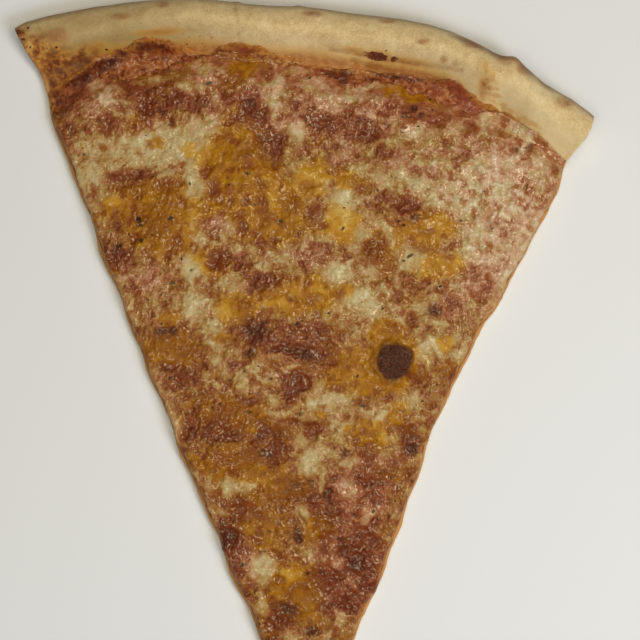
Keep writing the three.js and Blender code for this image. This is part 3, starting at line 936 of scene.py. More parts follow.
# %% Marks on the cheese
PALE = [
    (-45, 68, 12, 3.5, 10), (-54, 71, 5, 3), (-42, 73, 8, 4), (-34.5, 60, 3, 6), (-34.5, 47, 0.8, 3),
    (-35, 33, 3.5, 3.5), (37, 20, 2.5, 2), (6, 60, 3, 2.5), (48, 76, 3, 2.5), (63, 29, 3, 3),
    (-6, 22, 3, 1.5), (68, 38, 3, 3), (21, 32, 2.5, 2.5), (-32, 89, 2.5, 2), (32, 57, 2.5, 1.8),
    (-70, 62, 4, 3), (-65, 60, 3, 2.5), (-60, 54, 3, 2), (49, 51, 4.5, 2.8, -30), (18, 64, 3.2, 2.8),
    (74, 63, 3, 4), (26, 60, 3, 3), (-30, 96, 3, 2.5), (-28, 92, 3, 2), (-29, 80, 2, 1.4), (-28, 77, 3, 3),
    (-8, 86, 2.5, 6), (-2, 75, 3, 3), (-7, 77, 2.5, 2), (-32, 76, 3, 3), (34, 76, 3, 2.5),
    (49, 84, 1.5, 3.5, -20), (57, 80, 2.5, 5, -15), (60, 84, 2, 2.5), (52, 93, 1.5, 1), (30, 62, 3, 2),
    (-22, 39, 2.5, 2), (-15, 38, 2, 1.5), (-12, 32.5, 2, 1.5), (-33, 42, 2, 2), (-24, 29, 3, 2),
    (-20, 27, 3, 2), (13, 55, 3, 3), (12, 50, 3, 2.5), (14, 46.5, 2, 2), (34, 60, 4.5, 2, -25),
    (41, 54, 4, 1.8, -30), (34, 35, 4, 3), (26, 43, 5, 1.2, -53), (11, 31, 3.5, 3), (20, 22, 4.5, 3.5),
    (41, 22, 3, 2), (-35, 20, 3, 4), (-25, 19, 3, 2.5), (-27, 14, 3, 2), (-28, 4, 2, 2), (-19, -3, 2, 2),
    (-26, -4, 2, 1.5), (-8, 5.5, 2.5, 1), (-3.5, 1.5, 1.8, 1), (4, -4.5, 2, 1.5), (-9, -9, 3, 1.5),
    (-7.5, -13, 4.8, 1.2, -12), (-1, -22, 2, 2), (5, -24, 2, 2), (37, 5, 1.5, 1.5), (38, 7, 2, 2),
    (42, 9, 2.5, 2), (50, 6, 2.5, 2), (11, -8.3, 5.5, 1.2, -14), (5, -9, 4, 1.6), (12, -17, 3, 2.5),
    (24, -13.5, 1.7, 1.7), (35, -9, 3, 2.5), (3, -27, 3, 3), (15, -28, 3, 1.5), (25, -27, 2.5, 2),
    (14.5, -36.5, 4, 3), (5.5, -35, 1.2, 3), (-23, -36.5, 2.5, 1.5), (-17, -35, 2, 1.5), (-25, -43, 2, 1.5),
    (0, -43.5, 2, 2), (2, -57, 1.3, 2), (11, -59.5, 2, 2), (-13, -61, 4, 4), (-4, -62.5, 3, 2),
    (12, -77, 1.5, 3), (16, -66.5, 3.2, 1, -51), (-13, -73, 3, 3), (-12.5, -77.5, 1.5, 1),
    (-4, -83, 2, 1.5), (20, -44.5, 3, 2), (6, -83, 2.5, 2), (-10.5, 54, 2, 3), (25, -20, 2, 2),
    (9, 83, 4.5, 1.6, -15), (15, 86.5, 4, 1.4, -10), (22, 81, 3, 1.4, -20), (29, 79, 3, 1.4, -25),
    (18, 43, 3, 2.5), (55, 45, 4, 3), (-61, 86, 4, 4), (-66, 91, 3, 2.5), (-30, 95, 4, 3.5), (-7, 92, 3, 3),
    (4, 91, 4, 2), (18, 90, 5, 2), (0, 95, 4, 1.6), (-46, 92, 3, 1.5), (-38, 90, 2.5, 2),
    (69, 75, 5, 2.2, -40), (64, 80, 3, 1.6, -40), (-12, 21, 2.5, 2), (31, 15.5, 2, 1.5), (-57, 29, 2, 2),
    (4.5, 25.5, 2, 1.5), (16, 39, 2, 1.5), (0, 40, 2, 1.5), (3, 62, 4, 2), (-27, 8, 2, 2), (44, 15, 3, 1.5)]
GOLDEN = [
    (-25, 11, 2, 1.5), (44.5, 9.5, 2.5, 2), (29, -13, 3, 3), (17, 48.5, 1.5, 1.5), (-42, 17, 3, 2),
    (5.5, -13.5, 1.5, 1.5), (13.5, -18, 1.3, 1.3), (27.5, 88, 3, 2), (-35.5, 70.5, 1.5, 2.5),
    (-45.5, 72, 2.2, 2.2), (-18, 96, 5, 4), (25, 11, 5, 2.5), (14, 25, 3, 2.5), (12, 48, 2.5, 3),
    (-9, 22, 3, 2), (28, 3, 8.5, 8)]
TOASTED = [
    (-46, 46, 6, 5), (-55, 57, 5, 2), (-41, 57, 3, 3), (-42, 55, 2.5, 2), (1, 58, 2, 1.5), (-4, 53, 2.5, 2),
    (22, 38, 5, 4), (39, 51, 2, 2), (26, 34, 2.5, 5), (38, 39, 4, 2), (27, 14.5, 2, 2), (-34, 6, 5, 3),
    (-28, 25, 3, 1.5), (-24, -13, 9, 5), (-22, -27, 8, 4), (-17, -38, 4, 1.5), (-9, -40, 6, 3),
    (21, -26, 4, 2), (25, -31, 5, 3), (46.5, 3, 2, 3.5), (43.5, 0.5, 2, 1.5), (37.5, -0.5, 2.5, 2),
    (45, -6, 2.5, 2), (53, 12, 2.5, 2), (33.5, -18, 2, 2.5), (-8, -17.5, 2, 2), (-5.5, -19, 2, 2),
    (57, 72, 3, 2), (62, 75, 2.5, 2), (33, 71, 2.5, 2), (-5, 86, 1.5, 5), (-22, 90, 3, 3), (-24, 90, 2, 2),
    (17.5, 58, 2.8, 2.3), (-3, 23.5, 1.2, 1.2), (1.5, 27.5, 1.2, 1.2), (-6, 19.5, 1.2, 1.2),
    (2.5, 21, 1.2, 1.2), (-7.5, -64.5, 2, 1.5), (24.5, -63, 2, 2), (-45.5, 72, 2, 2), (-52, 69, 0.7, 0.7),
    (-18, 21, 2, 1.5), (17.5, -21.5, 1, 1), (-13.5, 57, 1.5, 4, 8), (-11.5, 51, 1.5, 4, 25),
    (-9, 47.5, 3, 1.2, -15), (-17, 58.8, 1, 1), (13, 14, 3, 1.5), (7, 8, 2, 1.5), (8, 2, 2, 1.5),
    (-26, 73, 3, 1.5, 30)]
RED = [
    (-41, 37.5, 4, 2, 55), (-39, 41, 2, 2), (18, -9, 2.5, 2), (25, 69, 2.5, 2), (-24, 86, 3, 2.5),
    (5, 76, 2, 2), (-20, 2, 3, 1), (11, -5.5, 2.5, 1.4), (10, 2.5, 2, 1.2), (-22, -32, 3, 1.5),
    (-13, 53, 1.5, 2), (-3, 83, 2, 2), (13, -33, 2, 1.5), (-9, 41, 2, 1.5), (-58, 83, 2, 1.5),
    (34, -2, 2.5, 2), (-70, 76, 2.5, 2.5), (53, 31, 2.5, 2), (63, 44, 2, 2), (-62, 78, 3, 3),
    (-42, 83.5, 2, 2), (-40, 86, 2, 2), (-76.5, 71.5, 2, 2), (-50, 85, 2, 5), (-48, 83, 1.5, 2),
    (-33, 85, 4, 3), (-11, 94, 2, 2), (-16, 83, 4.5, 2.5, -40), (-23, 77.3, 3.5, 0.8, 8),
    (5, 80, 6, 1.4, 8), (-8, 73, 4, 2.5), (21, 75, 2.5, 2), (51, 68, 2.5, 2), (44, 70.5, 1.5, 1.5),
    (35, 62, 3, 2), (40, 63, 2, 1.5), (-58.5, 62.5, 2, 2), (-50, 63, 4, 2), (-53, 42, 2, 1.7),
    (-40.2, 37.5, 3.2, 1, 55), (-57, 36, 4, 2.5), (-58.5, 46, 1.5, 1.5), (-8, 69, 2.5, 4),
    (-30, 63, 1.2, 3), (-28, 58, 2, 3), (-18.5, 46.5, 1, 2), (-12.5, 39.5, 2.5, 1.8), (-27, 35, 3.5, 2.5),
    (-20.5, 33, 2, 1), (-12, 28.5, 3.5, 2), (3, 49.5, 2.5, 3), (6.5, 39.3, 1.5, 1), (-0.5, 33.5, 2, 1.5),
    (12, 38, 1.5, 0.8), (25, 55, 2.5, 2), (32, 53, 3, 2.5), (22.5, 51, 2.5, 1.5), (11, 24, 2, 1.5),
    (29.5, 24.5, 2, 2.5), (42, 25.5, 2, 1), (38, 28, 2, 1.5), (34, 16, 2, 2.5), (-3, 14, 3.5, 2.5),
    (5.5, 14.3, 2.2, 2.2), (-15, 13, 4.5, 3.5), (-2, 7, 10.5, 1.8, -11), (-42, 2, 4, 1.5), (-38, -1, 3, 2),
    (-7.5, 1.5, 1.5, 1.5), (-1, -3, 3.5, 3), (-4, -8.5, 2.5, 2), (-17.5, -8.5, 3, 1.3),
    (-27, -16.5, 4.5, 3), (-25, -20.3, 7.5, 1.2, -12), (-9, -25, 3, 4), (-35, -15, 2, 3),
    (-37, -20.5, 1.5, 1), (-13, -17, 2, 2), (2.5, -20, 2, 1.5), (-20, -43, 5, 3), (-23, -52, 5, 4),
    (7, -53.5, 2, 3), (17, -59, 4.5, 9), (20, -52, 3, 4), (7, -64, 4, 4), (13, -72, 3, 2.5),
    (17, -74, 2, 2), (22, -68, 2, 2), (22.5, -70.5, 1.5, 1.5), (-8, -79, 4, 2), (-21, -62, 2, 2),
    (23, -47, 2, 1.5), (2, -20, 2, 1.5), (5, -18, 3, 2), (20, -34, 4, 1.5), (4, -42, 3, 2),
    (8, -43, 2, 1.5), (42, 87.5, 2, 3), (48, 88, 3, 3), (53, 84, 3.5, 4), (53, 76.5, 1.8, 2),
    (40.5, 78.5, 2.5, 1.8)]
BLISTERS = [(28.5, 3.2, 6, 5.8)]
DARK = [
    (2.5, -81, 1.5, 1.5), (17, -59.5, 2.2, 2.2), (6, -62.5, 1, 1), (-1.5, -51, 2, 2), (33.8, -24, 1.8, 2),
    (12.5, -25, 2, 1.5), (-12, -25.5, 2, 1.5), (-40, 12.5, 1.7, 1.7), (-44.5, 13, 1.5, 1.5),
    (-16.5, 6, 2, 2), (35.5, 48, 1.5, 1.5), (41, 19.5, 2.5, 2), (-41, 78.5, 1, 1), (37, 79.7, 1, 1),
    (34.5, 82.5, 1, 1), (50.5, 85, 1, 1), (-16, 84, 1.2, 1), (66, 70, 1, 1), (71.5, 70, 1.5, 1.5),
    (-15, 13, 3.5, 2.5), (-1, 6, 6, 1.2, -11), (-24, -52, 3, 2.5), (-4.5, -74, 2.5, 2)]
PINK = [
    (30, 66, 4, 3), (12, -60, 12, 12), (18, -38, 8, 10), (-20, -58, 6, 8), (12, 69, 4, 3), (-64, 87, 9, 8),
    (5, 84, 7, 4), (11, 75, 4, 4), (7, 90, 4, 2), (67, 69, 8, 9), (-50, 29, 6, 4), (-28, 58, 2.5, 3),
    (-27, 46, 5, 3), (2, 36.5, 6, 3.5), (5.5, 58.5, 3, 2), (17, 93, 1.5, 1.5)]
CRUST = [
    (-47, -6, 3.5, 7, 25), (-41.5, -18, 3, 6, 22), (-56.5, 19, 3, 4.5, 20), (-31, -44, 2.5, 5, 25),
    (-60, 26, 2, 3, 20), (-69.5, 54, 2.5, 4, 15), (60, 21, 2.5, 4, -25), (-35.5, -33, 2, 4, 25),
    (-64, 38, 1.5, 4, 20)]
RINGS = [
    (-18.5, 70, 1.8), (-20.5, 67.6, 1.4), (-3, 8, 1.7), (2, 4.5, 1.5), (6, -13.5, 1.5), (-1, -71, 4.5),
    (11, 75, 4), (-18.3, 96, 2), (28.5, 3.2, 6.2)]
CHARRED = [
    (-51.5, 48, 1.1, 0.8), (-51, 46, 1.1, 0.6), (-41.5, 48, 1, 0.6), (-44, 51.3, 0.4, 0.4),
    (-45, 53, 0.5, 0.4), (-45.5, 54.5, 0.4, 0.4), (-47, 47.3, 0.4, 0.4), (-47.3, 43.2, 0.4, 0.4),
    (-46, 42, 0.3, 0.3), (-50.5, 41.3, 0.8, 0.8), (-54.5, 43.3, 0.4, 0.4), (-49.3, 42.2, 0.4, 0.4),
    (-42.2, 44.2, 0.5, 0.4), (-57.7, 39.5, 1.1, 0.8), (-59.3, 30.5, 0.5, 0.5), (-17.5, 62, 0.6, 0.6),
    (-15, 52.3, 0.6, 0.6), (-7, 47.4, 0.6, 0.6), (29.7, 47.3, 0.5, 0.5), (31.5, 46, 0.5, 0.5),
    (-2, 15, 0.7, 0.6), (-16.5, 12.5, 0.6, 0.6), (-13, 15.5, 0.5, 0.5), (-26, -10, 0.6, 0.5),
    (-28.5, -11, 0.5, 0.5), (-21.3, -21.6, 0.6, 0.5), (17, -1.2, 0.5, 0.5), (8, -0.5, 0.5, 0.4),
    (10, -1, 0.4, 0.4), (-19, -60, 0.8, 0.7), (36.7, 89.5, 0.5, 0.4), (40, 86, 0.5, 0.5),
    (40.5, 82.5, 0.5, 0.5)]

# %% Measure the cheese's thickness
MAP_GAP = 3.0  # mm between its places


class HeightMap:
    """A smooth map of the gap between two solids' upper sides, from rays on a grid."""

    def __init__(self, upper, lower):
        self.low = np.array([cad_low[0], cad_low[1]]) / MM
        counts = np.ceil((np.array([cad_high[0], cad_high[1]]) / MM - self.low) / MAP_GAP).astype(int) + 1
        grid = np.full(counts, np.nan)
        for i, j in np.ndindex(*counts):
            x, y = self.low + np.array([i, j]) * MAP_GAP
            over, under = height_over(upper, x, y), height_over(lower, x, y)
            if over is not None and under is not None:
                grid[i, j] = over - under
        while np.isnan(grid).any():
            grid = np.where(np.isnan(grid), self.around(grid), grid)
        for _ in range(2):
            grid = 0.4 * grid + 0.6 * self.around(grid)
        self.grid = grid

    def around(self, grid):
        """The mean of each place's known neighbours."""
        padded = np.pad(grid, 1, mode="edge")
        beside = np.stack([padded[:-2, 1:-1], padded[2:, 1:-1], padded[1:-1, :-2], padded[1:-1, 2:]])
        known = ~np.isnan(beside)
        total = np.where(known, beside, 0).sum(0)
        return np.where(known.any(0), total / np.maximum(known.sum(0), 1), np.nan)

    def at(self, x, y):
        """The gap over any places, in mm."""
        u, v = (x - self.low[0]) / MAP_GAP, (y - self.low[1]) / MAP_GAP
        i = np.clip(np.floor(u).astype(int), 0, self.grid.shape[0] - 2)
        j = np.clip(np.floor(v).astype(int), 0, self.grid.shape[1] - 2)
        u, v = np.clip(u - i, 0, 1), np.clip(v - j, 0, 1)
        near = self.grid[i, j] * (1 - u) + self.grid[i + 1, j] * u
        far = self.grid[i, j + 1] * (1 - u) + self.grid[i + 1, j + 1] * u
        return near * (1 - v) + far * v


thickness = HeightMap("cheese", "sauce")
print("cheese over sauce:", round(thickness.grid.min(), 2), "to", round(thickness.grid.max(), 2), "mm")

# %% Lay out the cheese and its marks
CHEESE_GAP = 0.445
CHEESE_RADIUS = 205  # mm to a radian along its edge
OVERRUN = 1.0  # how far the cheese ran out past the edge of its layer


def drips(angle):
    """How far the edge of the cheese strays out, in mm, along the rim."""
    s = np.radians(angle) * CHEESE_RADIUS
    uneven = 2.2 * hills(s, 0 * s, 9, 81) + 1.3 * hills(s, 0 * s, 3.4, 82) + 0.5 * hills(s, 0 * s, 1.4, 83)
    return OVERRUN + uneven * ease(17, 13, angle) + 2.8 * ease(14, 17, angle) + 2.6 * groove(angle + 4, 4.5)


def tip_of_cheese(angle):
    """A line round the cheese's tip, 1.5 mm behind the dough's."""
    return cheese_outline.reach(angle) - TIP_WORN - 1.5


rows = round(tip_of_cheese(0) / CHEESE_GAP)
cheese_lines = [(tip_of_cheese, True)] + lines_between(tip_of_cheese, at(0), rows)


def cheese_nibbles(distance, side):
    """How far the cheese draws back from the cuts: it melts into rounded lobes."""
    uneven = 0.8 * hills(distance, APART * side, 6.5, 84) + 0.4 * hills(distance, APART * side, 2.6, 85)
    return np.clip(0.8 + uneven, 0, 1.9)


cheese = Plan(cheese_outline, cheese_lines, CHEESE_GAP, CHEESE_GAP, drips, cheese_nibbles)
x, y = cheese.x, cheese.y
wx = x + 1.5 * hills(x, y, 7, 91) + 0.7 * hills(x, y, 2.6, 92)
wy = y + 1.5 * hills(x, y, 7, 93) + 0.7 * hills(x, y, 2.6, 94)
fx = x + 0.3 * hills(x, y, 1.2, 95)
fy = y + 0.3 * hills(x, y, 1.2, 96)
creamy, golden_skin, ruddy = (blots(wx, wy, zone, 0.75) for zone in (CREAMY, GOLDEN_SKIN, RUDDY))
pale, golden, toasted = blots(wx, wy, PALE, 0.7), blots(wx, wy, GOLDEN, 0.7), blots(wx, wy, TOASTED, 0.7)
red, dark, pink = blots(wx, wy, RED, 0.6), blots(wx, wy, DARK, 0.6), blots(wx, wy, PINK, 0.6)
pink = np.maximum(pink, 0.75 * ease(30, 58, x) * ease(0, 30, y))
pink = np.maximum(pink, 0.8 * ease(70, 80, y) * ease(-42, -28, x))
blister_x = x + 1.3 * hills(x, y, 5, 97) + 0.5 * hills(x, y, 1.7, 99)
blister = blots(blister_x, y + 1.0 * hills(x, y, 4, 98), BLISTERS, 0.28)
charred = blots(fx, fy, CHARRED, 0.5)
crust = blots(0.5 * (x + wx), 0.5 * (y + wy), CRUST, 0.6)
golden = np.maximum(golden, golden_skin)
rings = np.zeros(len(x))
for ring_x, ring_y, radius in RINGS:
    away = np.hypot(wx - ring_x, wy - ring_y) - radius
    rings = np.maximum(rings, groove(away, 0.22 * radius ** 0.5 + 0.1))
print("cheese plan:", len(x), "points in", len(cheese.rows), "rows")

# %% How thick and how oily the cheese is
shred_near, shred_next, shred_own = cells(wx, wy, 3.8, 101)
small_near, small_next, small_own = cells(fx, fy, 1.9, 102)
lump = round_rise(1.5 * (shred_next - shred_near))
small_lump = round_rise(1.4 * (small_next - small_near))
pits = ease(0.42, 0.12, small_near) * (small_own > 0.72)
ix = x + 0.9 * hills(x, y, 3, 106) + 0.5 * hills(x, y, 1.5, 107)
iy = y + 0.9 * hills(x, y, 3, 108) + 0.5 * hills(x, y, 1.5, 109)
island_away, _, island_own = cells(ix, iy, 3.6, 110)
island_size = 0.12 + 0.38 * island_own
island_chance = island_own + 0.4 * hills(x, y, 14, 115) - 0.5 * pale - 0.45 * golden
islands = ease(1.15, 0.6, island_away / island_size) * ease(0.35, 0.6, island_chance)
strands = 1.2 - 2 * np.abs(hills(wx, wy, 5, 116)) - 2 * np.abs(hills(wx, wy, 3, 119))
calm = 1 - 0.4 * golden
body = 0.495 + calm * (0.04 * rough(wx, wy, 11, 103, 2) + 0.11 * rough(wx, wy, 3.6, 105, 2) + 0.1 * strands)
body += calm * (0.15 * (shred_own - 0.5) * lump + 0.3 * (small_own - 0.5) * small_lump) - 0.14 * pits
body += 0.2 * creamy + 0.04 * pink - 0.02 * golden_skin
body -= 0.22 * ruddy + 0.18 * red + 0.06 * toasted + 0.2 * dark
body += 0.13 * ease(0, 60, x) * ease(-10, 50, y)  # thicker at the upper right
body -= 0.05 * ease(-20, -50, y) + 0.06 * ease(10, -15, x) * ease(10, -10, y)  # and thinner at the tip
body += pale * (0.2 - 0.4 * (body - 0.6))
body += 0.28 * crust - 0.2 * islands * (1 - 0.6 * crust)
body -= 0.08 * ease(5, 0.5, cheese.from_edge + 3 * hills(x, y, 4, 104)) * ease(60, 35, x)
body = np.clip(body, 0, 1)
oily = 0.30 + 0.30 * rough(x, y, 14, 108, 2) + 1.05 * golden + 0.2 * toasted
oily = np.clip(oily - 0.15 * creamy - 0.2 * pale - 0.35 * pink, 0, 1)
print("thin to thick cheese:", np.percentile(body, [5, 50, 95]).round(2), "oily", oily.mean().round(2))

# %% Raise it
smooth_skin = np.clip(1.0 * golden * (1 - toasted * 0.5) + 0.4 * pale + 0.25 * creamy, 0, 1)
worms = 1 - 2.2 * np.abs(hills(fx, fy, 2.0, 111))
relief = 0.35 * hills(x, y, 16, 112) + 0.8 * (body - 0.5) + 0.3 * rough(wx, wy, 4.2, 113, 2)
lumpy = 1 - smooth_skin
relief += (0.15 + 0.35 * lumpy) * (lump - 0.7) + (0.06 + 0.32 * lumpy) * (small_lump - 0.7)
relief += 0.14 * lumpy * worms
relief += 0.22 * rings + 0.30 * golden + 0.55 * blister + 0.1 * dark + 0.2 * pink - 0.15 * red - 0.25 * pits
relief += 0.07 * blister * rough(x, y, 1.3, 118, 2) - 0.12 * charred + 0.1 * islands
at_cut = round_rise(cheese.from_cut / 1.3)
at_edge = ease(-1.0, 7, cheese.from_edge)
thick = np.maximum(thickness.at(x, y) + relief, 0.35)
thick = thick * (0.35 + 0.65 * at_cut) * (0.2 + 0.8 * at_edge)
base = dough_top(cheese.angle, cheese.inward) + SAUCE_THICK - 0.4 * (1 - at_edge)
cheese_solid = Solid(cheese, base + thick, base - SINK, levels=3, plain_rows=len(cheese.rows) - 2)
source, depth = cheese_solid.source, cheese_solid.depth
along = cheese.along_cuts(source)
cheese_solid.push += (depth < 1) * (0.16 * rough(along, depth * 2, 2.4, 117, 3) + 0.1)
cheese_masks = {
    "body": body[source],
    "oily": oily[source],
    "toasted": toasted[source],
    "red": red[source],
    "ruddy": ruddy[source],
    "island": islands[source],
    "dark": dark[source],
    "blister": blister[source],
    "pink": pink[source],
    "smooth": smooth_skin[source],
    "charred": charred[source],
    "crust": crust[source],
    "ring": rings[source],
    # painted shade: the creases between lumps, darkened in the colour
    "crease": (1 - np.minimum(lump, small_lump))[source],
    "cut_side": ease(0.9, 0.1, cheese.from_cut)[source],
}
cheese_piece = cheese_solid.make("melted_cheese", cheese_masks)


# %% Colour the cheese
def cheese_finish():
    m = Material("baked_cheese")
    fine, grain, broad, tint = m.noise(1.5, 2), m.noise(0.55, 1), m.noise(5, 2), m.noise(3.2, 2)
    unrest = 1 - m.mask("smooth") * 0.6
    ripple = ((fine - 0.5) * 0.42 + (grain - 0.5) * 0.36) * unrest
    # crease darkens the tone: painted shade between the lumps
    tone = (m.mask("body") + ripple - m.mask("crease") * 0.1).held()
    cream = m.shades(tone, (0.0, paint(90, 38, 8)), (0.2, paint(126, 66, 18)), (0.4, paint(158, 102, 40)),
                     (0.6, paint(182, 144, 84)), (0.8, paint(200, 178, 128)), (1.0, paint(222, 210, 170)))
    amber = m.shades(tone, (0.0, paint(98, 42, 0)), (0.25, paint(140, 78, 0)), (0.5, paint(176, 117, 0)),
                     (0.75, paint(200, 150, 44)), (1.0, paint(214, 188, 116)))
    # its palest stops lean white and cool: the pink cheese's own colour with a painted sheen of glints over
    # it
    meaty_with_sheen = m.shades(tone, (0.0, paint(88, 36, 20)), (0.25, paint(134, 64, 38)), (0.5, paint(172, 104, 70)),
                     (0.75, paint(208, 158, 128)), (1.0, paint(232, 206, 182)))
    oil = (m.mask("oily") + (broad - 0.5) * 1.0 + (fine - 0.5) * 0.3).ramp(0.3, 0.85)
    blush = (tint * 1.8 - 0.62 + m.mask("ruddy") * 0.4 + m.mask("pink") * 0.5 + m.mask("red") * 0.2
             - m.mask("smooth") * 0.3).ramp(0.15, 0.85)
    colour = m.mix(blush * 0.85, cream, meaty_with_sheen)
    colour = m.mix(oil, colour, amber)
    crust = m.mix(tone, paint(170, 100, 40), paint(228, 188, 128))
    colour = m.mix(m.mask("crust") * 0.85, colour, crust)
    colour = m.mix((m.mask("toasted") * (0.2 + fine * 0.6)).held(), colour, paint(140, 76, 6))
    colour = m.mix((m.mask("red") * (0.65 - tone * 0.6)).held(), colour, paint(120, 48, 14))
    colour = m.mix((m.mask("island") * (0.1 + fine * 0.7)).held(), colour, paint(150, 78, 24))
    colour = m.mix(m.mask("ring") * 0.45, colour, paint(116, 62, 22))
    colour = m.mix((m.mask("dark") * (0.3 + fine * 0.7)).held(), colour, paint(72, 30, 10))
    burnt_skin = m.mix(grain.ramp(0.35, 0.7), paint(60, 26, 16), paint(98, 54, 36))
    colour = m.mix(m.mask("blister").ramp(0.1, 0.9), colour, burnt_skin)
    colour = m.mix(m.mask("charred").ramp(0.3, 0.9), colour, paint(58, 34, 22))
    peppered = m.specks(2.3, 0.6) * m.noise(6, 2).ramp(0.55, 0.62)
    colour = m.mix(peppered, colour, paint(62, 34, 16))
    side = m.mix(fine, paint(192, 126, 56), paint(214, 170, 104))
    colour = m.mix(m.mask("cut_side") * fine.ramp(0.35, 0.65) * 0.6, colour, side)
    roughness = (0.24 + fine * 0.2 + m.mask("blister") * 0.15 + m.mask("cut_side") * 0.4).held()
    wet = (broad - 0.5) * 1.5 + 0.74 + m.mask("island") * 0.2 + m.mask("pink") * 0.2
    coat = (wet - m.mask("smooth") * 0.4 - m.mask("blister") * 0.4 - m.mask("cut_side")).held()
    wrinkled = unrest * (1 - m.mask("blister") * 0.6)
    relief = (m.pebbles(1.0) * 0.5 + m.noise(0.6, 1) * 0.3) * wrinkled
    relief = relief + fine * 0.4 * unrest + m.mask("blister") * grain * 0.4
    return m.finish(Base_Color=colour, Roughness=roughness, Coat_Weight=coat, Coat_Roughness=0.08,
                    Normal=m.bump(relief, 0.72), Specular_IOR_Level=0.35)


cheese_piece.data.materials.append(cheese_finish())
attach(cheese_piece, "root")
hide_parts("cheese")

# %% [markdown]
# ## Herb flecks
#
# Dried herbs went into the sauce and onto the cheese: thin curled flakes, one
# or two millimetres long, green-grey to almost black. A bump or a dark dot
# would be flat from the side, so each is a small slab with an uneven outline,
# dropped onto the finished cheese. They are all joined into one mesh.

# %% Where the flecks lie
HERBS = [
    (-61.5, 97, 1.2, 10), (-57, 97.5, 0.9, 60), (-29.5, 90.5, 1.1, 25), (2, 92.5, 0.9, 40),
    (31, 75, 0.6, 0), (32, 76.4, 0.7, 50), (36, 77, 0.7, 20), (-38, 35.5, 0.7, 80), (-35, 32, 0.6, 30),
    (-41, 28, 1.1, 15), (13, 51.5, 0.7, 0), (12.5, 45, 0.8, 60), (33.5, 36.5, 1.2, 35), (31.5, 35, 0.7, 0),
    (-18.3, 0.3, 0.7, 70), (-23, -2.5, 0.8, 20), (-14, 2, 0.6, 0), (-10, -2, 0.8, 40),
    (-16.5, -12.5, 0.8, 10), (-1, -13, 0.7, 90), (-41.7, -1.8, 1, 30), (18.8, -10.5, 1.2, 0),
    (31.5, -12, 0.8, 50), (37.3, -9, 0.7, 10), (-2, -49.5, 0.8, 0), (22, -43.5, 0.9, 70), (-51, 47, 1, 20),
    (-41.5, 48.2, 1, 45), (-57.7, 39.5, 1, 30), (-50.5, 41.3, 0.8, 0), (43, 27, 0.9, 15), (8, 18.5, 0.6, 0),
    (-64, 78.5, 0.5, 20), (59, 45, 0.6, 0), (70, 58, 0.6, 60), (25, 20, 0.6, 30), (-6, 65, 0.5, 0),
    (48, 66, 0.7, 80), (3, -34, 0.7, 20), (11, -52, 0.7, 60), (-12, -56, 0.6, 0)]
SCATTERED = 60  # more of them, small, where chance puts them
chance = np.random.default_rng(131)
for _ in range(SCATTERED):
    along_x, along_y = chance.uniform(-70, 75), chance.uniform(-90, 95)
    HERBS.append((along_x, along_y, chance.uniform(0.2, 0.42), chance.uniform(0, 180)))

depsgraph = bpy.context.evaluated_depsgraph_get()
depsgraph.update()
cheese_tree = BVHTree.FromObject(cheese_piece, depsgraph)
FLAKE_SIDES = 7
FLAKE_SINK = 0.12  # its underside lies this far in the cheese
FLAKE_RISE = 0.13  # and its upper side this far above it


def flake(place_x, place_y, long, turn):
    """Points and faces of one flake lying on the cheese, or nothing beside it."""
    sides = FLAKE_SIDES
    around = np.arange(sides) * 2 * np.pi / sides + chance.uniform(-0.25, 0.25, sides)
    reach = chance.uniform(0.7, 1.15, sides)
    u, v = long * reach * np.cos(around), long * 0.5 * reach * np.sin(around)
    angle = math.radians(turn)
    x = place_x + u * math.cos(angle) - v * math.sin(angle)
    y = place_y + u * math.sin(angle) + v * math.cos(angle)
    starts = [Vector((a * MM, b * MM, ABOVE)) for a, b in zip(x, y)]
    hits = [cheese_tree.ray_cast(start, DOWN)[0] for start in starts]
    if None in hits:
        return [], []
    lying = np.array([hit.z / MM for hit in hits])
    lying = 0.5 * lying + 0.5 * lying.mean()
    curl = 0.10 * long * (u / long) ** 2
    under = np.column_stack([x, y, lying - FLAKE_SINK])
    over = np.column_stack([x, y, lying + FLAKE_RISE + curl])
    over[:, :2] = over[:, :2] * 0.9 + (place_x * 0.1, place_y * 0.1)
    walls = [(k, (k + 1) % sides, sides + (k + 1) % sides, sides + k) for k in range(sides)]
    return [*under, *over], [tuple(range(sides))[::-1], tuple(range(sides, 2 * sides)), *walls]


# %% Make the flecks
points, faces, shades = [], [], []
for herb in HERBS:
    flake_points, flake_faces = flake(*herb)
    faces += [tuple(len(points) + i for i in face) for face in flake_faces]
    points += flake_points
    shades += [chance.uniform(0, 1)] * len(flake_points)
fleck_mesh = bpy.data.meshes.new("herb_flecks")
fleck_mesh.from_pydata(np.array(points) * MM, [], faces)
fleck_mesh.attributes.new("shade", "FLOAT", "POINT").data.foreach_set("value", np.array(shades, np.float32))
flecks = bpy.data.objects.new("herb_flecks", fleck_mesh)
bpy.context.scene.collection.objects.link(flecks)
print("herb flecks:", len(points) // (2 * FLAKE_SIDES), "with", len(points), "points")


def herb_finish():
    m = Material("dried_herb")
    fine = m.noise(0.5, 2)
    tone = (m.mask("shade") * 0.8 + fine * 0.2).held()
    colour = m.shades(tone, (0.1, paint(40, 26, 12)), (0.45, paint(64, 52, 30)), (0.8, paint(90, 80, 54)),
                      (1.0, paint(112, 104, 76)))
    return m.finish(Base_Color=colour, Roughness=0.5, Normal=m.bump(fine, 0.1))


fleck_mesh.materials.append(herb_finish())
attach(flecks, "root")

# %% [markdown]
# ## The floor, the light and the camera
#
# The slice lies on a plain pale floor under soft studio light. Wet cheese would
# mirror a large panel as a grey veil, so the three panels that light the scene, a
# key low on the right, a wide fill on the left and a ceiling, aren't mirrored.
# Three small warm panels are, and they make the pinpoint glints on the oil. The
# camera looks straight down, as one does on food in front of one.

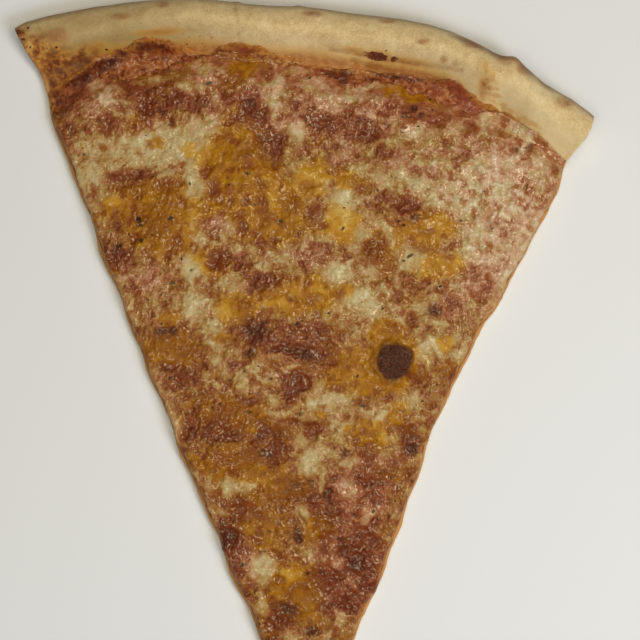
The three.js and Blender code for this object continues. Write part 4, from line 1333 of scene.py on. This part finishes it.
# %% Floor
FLOOR_SIDE = 3.0  # metres
floor_mesh = bpy.data.meshes.new("floor")
half = FLOOR_SIDE / 2
corners = [(-half, -half, 0), (half, -half, 0), (half, half, 0), (-half, half, 0)]
floor_mesh.from_pydata(corners, [], [(0, 1, 2, 3)])
floor = bpy.data.objects.new("floor", floor_mesh)
bpy.context.scene.collection.objects.link(floor)
floor_finish = Material("pale_floor")
floor_mesh.materials.append(floor_finish.finish(Base_Color=paint(242, 247, 255), Roughness=0.6))


# %% Light
def panel(name, side, power, where, aim=(0, 0, 0), mirrored=True, tint=(1, 1, 1)):
    """A square light of some metres and watts that points at a place. One that isn't
    mirrored lights a surface, but wet cheese and oil don't reflect it."""
    light = bpy.data.lights.new(name, "AREA")
    light.size = side
    light.energy = power
    light.color = tint
    lamp = bpy.data.objects.new(name, light)
    lamp.location = where
    lamp.rotation_euler = (Vector(aim) - Vector(where)).to_track_quat("-Z", "Y").to_euler()
    lamp.visible_glossy = mirrored
    bpy.context.scene.collection.objects.link(lamp)


WARM = (1.0, 0.85, 0.54)  # as a lamp's light
COOL = (0.945, 0.975, 1.04)  # as the sky's, and a little more than white in the blue
panel("key", 0.30, 2.55, (0.44, -0.34, 0.62), aim=(0.05, 0, 0), mirrored=False, tint=COOL)
panel("fill", 1.2, 1.9, (-0.8, -0.5, 1.1), mirrored=False, tint=COOL)
panel("ceiling", 2.0, 3.0, (0.2, -0.3, 1.6), mirrored=False, tint=COOL)
panel("glint_right", 0.24, 1.7, (0.36, -0.02, 0.85), tint=WARM)
panel("glint_left", 0.18, 0.85, (-0.24, -0.20, 0.85), tint=WARM)
panel("glint_top", 0.18, 0.85, (0.04, 0.34, 0.85), tint=WARM)
world = bpy.data.worlds.new("studio")
world.use_nodes = True
background = world.node_tree.nodes["Background"]
background.inputs["Color"].default_value = (1.0, 0.95, 0.85, 1)
background.inputs["Strength"].default_value = 0.06
bpy.context.scene.world = world
bpy.context.scene.view_settings.view_transform = "Standard"
print("panels of light:", len(bpy.data.lights))

# %% Camera
VIEW_X, VIEW_Y = 5.3, 16.4  # the middle of the view, mm
VIEW_WIDTH = 201.6  # what fits across it at the height of the topping
TOPPING = 5.0  # its height over the floor, mm
CAMERA_UP = 380.0  # the camera's height over that, mm
camera_data = bpy.data.cameras.new("camera")
camera_data.sensor_width = 36
camera_data.lens = camera_data.sensor_width * CAMERA_UP / VIEW_WIDTH
camera = bpy.data.objects.new("camera", camera_data)
camera.location = (VIEW_X * MM, VIEW_Y * MM, (TOPPING + CAMERA_UP) * MM)
bpy.context.scene.collection.objects.link(camera)
bpy.context.scene.camera = camera
print("the camera is", CAMERA_UP, "mm over the topping and sees", VIEW_WIDTH, "mm of it")
